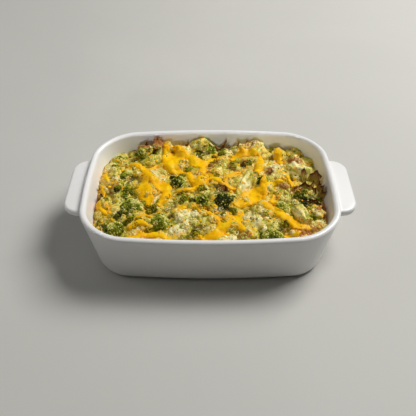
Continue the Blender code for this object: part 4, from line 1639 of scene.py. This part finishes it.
@dataclass
class Sprinkle:
    """One kind of small thing, spread over the food by a seeded draw.

    Attributes:
        name: The piece's name.
        count: How many are tried.
        size: Smallest and largest scale.
        sink: How deep each sits, as a share of its scale.
        lift: How much the pieces follow the ground's normal, from 0 to 1.
        tone: Middle tone.
        tone_spread: How far tones vary.
        seed: Of the draw.
        follow: How much the map's shift moves the tone.
        margin: Room that it leaves at the dish's wall.
        keep: Chance that a place is used, from its x and y.
        avoid: Discs that it stays out of, as x, y and reach.
    """

    name: str
    count: int
    size: Place
    sink: float
    tone: float
    tone_spread: float
    seed: int
    lift: float = 0.8
    follow: float = 1.0
    margin: float = 3 * MM
    keep: Callable[[float, float], float] = lambda x, y: 1.0
    avoid: Sequence[tuple[float, float, float]] = ()

    def build(
        self, dish: Dish, food: FoodMap, ground: Ground, parts: Sequence[Mesh], material: Material, slot: Slot
    ) -> Thing:
        """Spread copies of the parts as one piece.

        Args:
            dish: The dish that they stay inside.
            food: Where the food is greener, golden or browned.
            ground: What they lie on.
            parts: The shapes to draw from, of size 1.
            material: Their finish.
            slot: The record's slot of that finish; not used.

        Returns:
            The piece.
        """
        draw = random.Random(self.seed)
        shape = bmesh.new()
        half_length, half_width = dish.rim_half
        for _ in range(self.count):
            x, y = draw.uniform(-half_length, half_length), draw.uniform(-half_width, half_width)
            size = draw.uniform(*self.size)
            part = draw.choice(parts)
            spin, lean = draw.uniform(0, math.tau), draw.gauss(0, 0.35)
            shade = self.tone + draw.gauss(0, self.tone_spread)
            chance = draw.random()
            inside = dish.depth_inside(x, y, 42 * MM, dish.wall)
            if inside < 0.9 * size + self.margin or chance > self.keep(x, y):
                continue
            if any(math.hypot(x - ax, y - ay) < reach for ax, ay, reach in self.avoid):
                continue
            found = ground.hit(x, y)
            if found is None:
                continue
            point, normal = found
            upright = Vector((0, 0, 1)).lerp(normal, self.lift).normalized()
            turn = upright.to_track_quat("Z", "Y").to_matrix().to_4x4()
            turn = turn @ Matrix.Rotation(spin, 4, "Z") @ Matrix.Rotation(lean, 4, "X")
            place = Matrix.Translation(point - upright * self.sink * size) @ turn @ Matrix.Scale(size, 4)
            shift, gold, scorch = food.shades(x, y)
            add_copy(shape, part, place, shade + self.follow * shift, gold=0.7 * gold, scorch=scorch)
        return dress(self.name, shape, material)


class Morsels:
    """Shapes of the small things, each about 1 across its half, made once and copied."""

    SPRIG_BUDS = 24
    SPRIG_BUD_SIZES = (0.19, 0.29)
    SPRIG_BUD_REACHES = (0.66, 0.86)
    SPRIG_TONE_SPREAD = 0.16
    STEM_SLICE = 0.28
    STEM_BEND = 0.12
    FLAKE_THICKNESS = 0.16

    @staticmethod
    def bud() -> Mesh:
        """One closed bud."""
        shape = bmesh.new()
        bmesh.ops.create_icosphere(shape, subdivisions=1, radius=1)
        return mesh_of(shape)

    @staticmethod
    def dab(seed: int) -> Mesh:
        """A lumpy flattened dab of custard."""
        shape = bmesh.new()
        bmesh.ops.create_icosphere(shape, subdivisions=2, radius=1)
        for vertex in shape.verts:
            swell = 1 + 0.8 * noise.noise(vertex.co * 1.4 + Vector((seed * 3.7, 0, 0)))
            vertex.co = Vector((vertex.co.x * swell, vertex.co.y * swell * 0.75, vertex.co.z * 0.5 * swell))
        return mesh_of(shape)

    @classmethod
    def sprig(cls, seed: int, core: float = 0.74) -> Mesh:
        """A small tuft of broccoli: a core with buds standing round its top.

        Args:
            seed: Of its draw.
            core: The core's radius, which is larger where custard fills the gaps.

        Returns:
            The tuft's mesh.
        """
        draw = random.Random(seed)
        shape = bmesh.new()
        bmesh.ops.create_icosphere(shape, subdivisions=2, radius=core, matrix=Matrix.Scale(0.8, 4, (0, 0, 1)))
        bead = tone_layer(shape, "bead")
        for way in golden_ways(cls.SPRIG_BUDS, 1.0, -0.15):
            size = draw.uniform(*cls.SPRIG_BUD_SIZES)
            place = way * draw.uniform(*cls.SPRIG_BUD_REACHES)
            place.z *= 0.85
            spot = Matrix.Translation(place) @ Matrix.Scale(size, 4)
            made = bmesh.ops.create_icosphere(shape, subdivisions=1, radius=1, matrix=spot)
            own = draw.gauss(0, cls.SPRIG_TONE_SPREAD)
            for vertex in made["verts"]:
                vertex[bead] = own
        return mesh_of(shape)

    @classmethod
    def stem(cls, seed: int) -> Mesh:
        """A short cut length of stem, bent and uneven."""
        shape = bmesh.new()
        turn = Matrix.Rotation(math.pi / 2, 4, "Y")
        bmesh.ops.create_cone(
            shape, cap_ends=True, segments=12, radius1=0.36, radius2=0.3, depth=2.2, matrix=turn
        )
        around = [edge for edge in shape.edges if abs(edge.verts[0].co.x - edge.verts[1].co.x) < 0.01]
        round_edges(shape, around, 0.08, 2)
        slice_along(shape, 0, [step * cls.STEM_SLICE for step in range(-3, 4)])
        for vertex in shape.verts:
            bend = cls.STEM_BEND * math.sin(1.3 * vertex.co.x + seed)
            wide = 1 + 0.25 * noise.noise(Vector((vertex.co.x * 2, seed * 5.1, 0)))
            vertex.co = Vector((vertex.co.x, vertex.co.y * wide + bend, vertex.co.z * wide * 0.85))
        return mesh_of(shape)

    @classmethod
    def flake(cls, seed: int) -> Mesh:
        """A thin curled crisp flake."""
        shape = bmesh.new()
        bmesh.ops.create_grid(shape, x_segments=6, y_segments=4, size=1)
        bmesh.ops.solidify(shape, geom=shape.faces, thickness=cls.FLAKE_THICKNESS)
        for vertex in shape.verts:
            along, across = vertex.co.x, vertex.co.y
            ragged = 1 + 0.5 * noise.noise(Vector((along * 1.7, across * 1.7, seed * 2.9)))
            curl = 0.35 * along * along + 0.2 * across * math.sin(2 * along + seed)
            vertex.co = Vector((along * ragged, across * 0.6 * ragged, vertex.co.z + curl))
        face_outwards(shape)
        return mesh_of(shape)


@dataclass
class Cheddar:
    """Melted cheddar: one sheet of strands and patches that follows what it lies on."""

    dish: Dish
    ground: Ground
    food: FoodMap
    cell: float = 0.5 * MM
    rise: float = 2.0 * MM
    depth: float = 3.4 * MM
    ragged: float = 1.5 * MM
    settle: float = 1.5 * MM
    settled_share: float = 0.55
    own_share: float = 0.45
    reach: float = 1.5
    ripples: float = 190
    wall_gap: float = 0.3 * MM
    smoothings: int = 2
    smoothing: float = 0.4

    def cover(self, raster: Raster) -> np.ndarray:
        """How well each grid point is covered: 1 on a strand's middle line, 0 at its edge.

        Args:
            raster: The grid.

        Returns:
            The cover at each point, below 0 outside the cheddar.
        """
        cover = np.full_like(raster.x, -1.0)
        flat = (Vector((x, y, 0)) for x, y in zip(raster.x.flat, raster.y.flat))
        warp = [self.ragged * noise.noise_vector(place * self.ripples) for place in flat]
        warped_x = raster.x + np.array([step.x for step in warp]).reshape(raster.x.shape)
        warped_y = raster.y + np.array([step.y for step in warp]).reshape(raster.x.shape)
        for strand in STRANDS:
            for x, y, radius in strand.discs():
                reach = radius + 3 * self.ragged
                left, low = raster.index(x - reach, y - reach)
                right, high = raster.index(x + reach, y + reach)
                part = np.s_[left : right + 1, low : high + 1]
                away = np.hypot(warped_x[part] - x, warped_y[part] - y)
                cover[part] = np.maximum(cover[part], 1 - away / (self.reach * radius))
        return cover

    def heights(self, raster: Raster, cover: np.ndarray) -> None:
        """Fill the grid with the cheddar's height: the ground, smoothed, and the cheddar on it."""
        rows = zip(raster.x.flat, raster.y.flat)
        ground = np.array([self.ground.height(x, y) for x, y in rows]).reshape(raster.x.shape)
        raster.values = ground.copy()
        raster.widen(self.settle)
        raster.blur(self.settle)
        thick = np.sqrt(np.clip(1 - (1 - np.clip(cover, 0, 1)) ** 2, 0, 1))
        lying = self.settled_share * raster.values + self.own_share * ground
        raster.values = lying + self.rise * (thick - 0.4)

    def build(self, material: Material) -> Thing:
        """The cheddar as one piece."""
        raster = Raster(cell=self.cell)
        cover = self.cover(raster)
        self.heights(raster, cover)
        rows, columns = raster.x.shape
        shape = bmesh.new()
        size = Matrix.Diagonal((raster.half[0], raster.half[1], 1, 1))
        bmesh.ops.create_grid(shape, x_segments=rows - 1, y_segments=columns - 1, size=1, matrix=size)
        bare = []
        for vertex in shape.verts:
            x, y, _ = vertex.co
            inside = self.dish.depth_inside(x, y, 45 * MM, self.dish.wall) > self.wall_gap
            if cover[raster.index(x, y)] <= 0 or not inside:
                bare.append(vertex)
        bmesh.ops.delete(shape, geom=bare, context="VERTS")
        tone, scorch = tone_layer(shape), tone_layer(shape, "scorch")
        for vertex in shape.verts:
            x, y, _ = vertex.co
            spot = raster.index(x, y)
            vertex.co.z = raster.values[spot]
            vertex[scorch] = self.food.scorch.at(x, y)
            vertex[tone] = clamp(0.4 + 0.3 * cover[spot] + 0.35 * noise.noise(Vector((x, y, 0)) * 90))
        made = bmesh.ops.extrude_face_region(shape, geom=everything(shape), use_keep_orig=True)
        for item in made["geom"]:
            if isinstance(item, bmesh.types.BMVert):
                item.co.z -= self.depth
        bmesh.ops.recalc_face_normals(shape, faces=shape.faces)
        axes = {"use_axis_x": True, "use_axis_y": True, "use_axis_z": True}
        for _ in range(self.smoothings):
            bmesh.ops.smooth_vert(shape, verts=shape.verts, factor=self.smoothing, **axes)
        return dress("cheddar_melt", shape, material)


@dataclass(frozen=True)
class Lamp:
    """A square soft light, in metres and watts, and the point that it looks at."""

    name: str
    place: tuple[float, float, float]
    size: float
    power: float
    tint: Colour
    aim: tuple[float, float, float] = (0, 0, 30 * MM)

    def hang(self) -> bpy.types.Light:
        """Put the light in the scene, and return its data."""
        data = bpy.data.lights.new(self.name, "AREA")
        data.size, data.energy, data.color = self.size, self.power, self.tint
        light = placed(self.name, data)
        place = Vector(self.place)
        light.location = place
        light.rotation_euler = (Vector(self.aim) - place).to_track_quat("-Z", "Y").to_euler()
        light.visible_camera = False
        return data


LAMPS = (
    Lamp("window", (1.0, 0.7, 1.46), 0.9, 35.5, (1.0, 0.99, 0.97)),
    Lamp("left wall", (-1.3, 0.2, 0.7), 1.0, 3.2, (0.98, 0.99, 1.0)),
    Lamp("ceiling", (-0.1, 0.0, 1.6), 1.6, 2.2, (0.99, 0.99, 1.0)),
)
CARD = Lamp("front card", (-0.02, -0.42, 0.2), 0.26, 0.013, (0.9, 0.96, 1.0), (-0.02, 0.08, 0.056))


@dataclass
class Studio:
    """Pale floor, soft light from the back right, and the camera."""

    camera_place: tuple[float, float, float] = (-1.9 * MM, -385.9 * MM, 390.4 * MM)
    camera_pitch: float = math.radians(44)
    lens: float = 46.4
    sensor: float = 36.0
    floor_half: float = 2.5
    card_height: float = 0.03
    card_spread: float = math.radians(13.5)
    sky: Colour = (0.97, 0.985, 1.0)
    sky_strength: float = 0.033

    def floor(self) -> None:
        """The pale floor, which isn't part of the object."""
        shape = bmesh.new()
        bmesh.ops.create_grid(shape, x_segments=1, y_segments=1, size=self.floor_half)
        mesh = mesh_of(shape, "floor")
        mesh.materials.append(Floor().material())
        piece = placed("floor", mesh)

    def camera(self) -> None:
        """The camera, at the viewing angle solved from the dish's outline."""
        data = bpy.data.cameras.new("camera")
        data.lens, data.sensor_width = self.lens, self.sensor
        camera = placed("camera", data)
        camera.location = self.camera_place
        camera.rotation_euler = (math.pi / 2 - self.camera_pitch, 0, 0)
        bpy.context.scene.camera = camera

    def world(self) -> None:
        """Even light from all round."""
        world = bpy.data.worlds.new("soft room")
        world.use_nodes = True
        sky = world.node_tree.nodes["Background"]
        sky.inputs["Color"].default_value = (*self.sky, 1.0)
        sky.inputs["Strength"].default_value = self.sky_strength
        bpy.context.scene.world = world

    def build(self) -> None:
        """Floor, camera, lights and the plain view transform."""
        self.floor()
        self.camera()
        self.world()
        for lamp in LAMPS:
            lamp.hang()
        # A narrow card in front sends light over the front rim to the back wall's inside.
        card = CARD.hang()
        card.shape, card.size_y, card.spread = "RECTANGLE", self.card_height, self.card_spread
        bpy.context.scene.view_settings.view_transform = "Standard"


# Florets: x, y, radius, rise and heading as in the solids, then the tone, the cream and its side.
FLORETS = (
    (-30, 9, 9, 1.0, 250, 0.16, 0.6, 10),
    (-8.5, -18, 9, 1.5, 200, 0.24, 0.45, 150),
    (13.5, -16, 10.5, 1.0, 300, 0.1, 0.3, 60),
    (-73, -25, 13, 0.0, 280, 0.4, 0.5, 60),
    (-85, -53, 8.5, 1.0, 260, 0.36, 0.5, 120),
    (-1.5, 62, 8.5, 0.5, 80, 0.4, 0.5, 200),
    (-67, 55, 8.5, 0.0, 120, 0.36, 0.4, 330),
    (55, -63, 10.5, 0.0, 280, 0.34, 0.45, 60),
    (-46, -45, 9.5, 0.5, 270, 0.46, 0.4, 30),
    (66, -27, 8.5, 1.0, 330, 0.5, 0.5, 90),
    (52.5, 10, 7, 0.5, 40, 0.2, 0.5, 300),
)
# Stalk chunks: x, y, length, radius, rise, heading and tilt.
STALKS = (
    (35, 8, 34, 6.0, 3.0, 62, -6),
    (38, 60, 26, 8.5, 1.0, 8, 4),
    (90, 28, 24, 7.5, 2.5, -28, -4),
    (-24, 60, 22, 6.5, 0.5, 60, 10),
    (-50, 60, 16, 6.0, 0.5, 80, 40),
    (85, -35, 22, 5.5, 2.0, 105, 8),
)
# Leaves: x, y, length, height, heading and lean.
LEAVES = (
    (99, 4, 18, 12, -62, 16),
    (98, -14, 17, 10, -20, 24),
)
# Crisp edges of leaves that stand at the wall: as above, then how much of each is sunk.
CURLED_LEAVES = (
    (99, 13, 21, 18, -14, -34, 0.2),
    (105, -3, 15, 18, -70, -20, 0.2),
    (95, 2, 16, 13, 10, -30, 0.3),
    (-105, -10, 11, 10, 84, 12, 0.3),
    (85, 45, 16, 11, -30, -6, 0.2),
)


@dataclass
class Casserole:
    """The food: the baked mass with all that is set in it and lies on it."""

    dish: Dish
    surface: Surface = field(default_factory=Surface)
    food: FoodMap = field(default_factory=FoodMap)

    def __post_init__(self) -> None:
        """Tell the surface which places the larger pieces take."""
        spots = [in_metres((x, y, radius)) for x, y, radius, *_ in FLORETS]
        spots.extend((x * MM, y * MM, length * MM / 2) for x, y, length, *_ in STALKS + LEAVES)
        self.surface.taken = spots

    def build(self) -> None:
        """Build the mass, then the larger pieces, then what lies on them."""
        finishes = [finish.material() for finish in (COATED, BROCCOLI, STEM, CRISP, CHEDDAR)]
        coated, broccoli, stem, crisp, cheddar = finishes
        mass = BakedMass(self.dish, self.surface, self.food).build(coated)
        lumps = CoatedLumps(self.dish, self.surface, self.food).build(coated)
        bud = Morsels.bud()
        large = []
        for number, row in enumerate(FLORETS, start=1):
            large.append(Floret(self.dish, self.surface, number, *in_metres(row)).build(broccoli, bud))
        for number, row in enumerate(STALKS, start=1):
            chunk = Stalk(self.dish, self.surface, self.food, number, *in_metres(row, 5))
            large.append(chunk.build(stem))
        for number, row in enumerate(LEAVES, start=1):
            Leaf(self.surface, number, *in_metres(row)).build(crisp)
        for number, row in enumerate(CURLED_LEAVES, start=len(LEAVES) + 1):
            Leaf(self.surface, number, *in_metres(row), teeth=1.7, replaces_solid=False).build(crisp)
        self.sprinkle(Ground([mass, lumps]), *finishes)
        top = Ground([mass, lumps, *large])
        Cheddar(self.dish, top, self.food).build(cheddar)
        CrispTips(self.dish).build(top, crisp)

    def greener(self, x: float, y: float) -> float:
        """Chance that rises where the food is green."""
        return clamp(0.45 - 1.8 * self.food.tone.at(x, y))

    def paler(self, x: float, y: float) -> float:
        """Chance that rises where the food is pale."""
        return clamp(0.6 + 1.6 * self.food.tone.at(x, y))

    def browner(self, x: float, y: float) -> float:
        """Chance that rises where the food is browned."""
        return clamp(4 * self.food.scorch.at(x, y) - 0.25)

    def sprinkle(self, ground: Ground, *finishes: Material) -> None:
        """Spread the small things.

        Args:
            ground: The mass and its lumps.
            *finishes: Custard, broccoli, stem, crisp leaf and cheddar.
        """
        coated, broccoli, stem, crisp, cheddar = finishes
        spots = [(x, y, 0.8 * reach) for x, y, reach in self.surface.taken]
        bud = [Morsels.bud()]
        sprigs = [Morsels.sprig(seed) for seed in range(4)]
        dabs = [Morsels.dab(seed) for seed in range(6)]
        soaked = [Morsels.sprig(seed, 0.95) for seed in range(4, 8)]
        stems = [Morsels.stem(seed) for seed in range(5)]
        flakes = [Morsels.flake(seed) for seed in range(4)]
        green, pale = {"keep": self.greener}, {"keep": self.paler}
        burnt = {"keep": self.browner, "margin": 0.5 * MM}
        # Each kind is its shapes, finish, name, count and sizes in millimetres, its sink, tone and
        # spread of tones, its seed, and what else it sets.
        kinds = (
            (sprigs, broccoli, "green_sprigs", 480, (2.8, 5.4), 0.4, 0.46, 0.08, 21, green),
            (soaked, coated, "coated_sprigs", 300, (3.4, 6.4), 0.5, 0.66, 0.08, 26, pale),
            (dabs, coated, "custard_dabs", 260, (2.4, 5.6), 0.24, 0.74, 0.08, 22, pale),
            (dabs, cheddar, "cheddar_bits", 380, (1.0, 2.6), 0.2, 0.6, 0.2, 27, {"follow": 0.0}),
            (stems, stem, "stem_bits", 170, (2.4, 4.4), 0.2, 0.64, 0.12, 23, pale),
            (bud, broccoli, "loose_buds", 1700, (0.45, 0.9), 0.0, 0.4, 0.24, 24, green),
            (flakes, crisp, "crisp_flakes", 900, (1.2, 3.0), 0.0, 0.45, 0.3, 25, burnt),
        )
        slots = {
            coated: Slot.CUSTARD,
            broccoli: Slot.FLORET,
            stem: Slot.STALK,
            crisp: Slot.LEAF,
            cheddar: Slot.CHEDDAR,
        }
        for parts, material, name, count, size, *rest, more in kinds:
            kind = Sprinkle(name, count, in_metres(size), *rest, avoid=spots, **more)
            kind.build(self.dish, self.food, ground, parts, material, slots[material])


def main() -> None:
    """Build the studio, the dish and the casserole."""
    logging.basicConfig(level=logging.INFO, format="%(name)s: %(message)s")
    # Without a seed, noise_vector takes its offsets from the clock.
    noise.seed_set(NOISE_SEED)
    Studio().build()
    dish = Dish()
    dish.build()
    Casserole(dish).build()


if __name__ == "__main__":
    main()
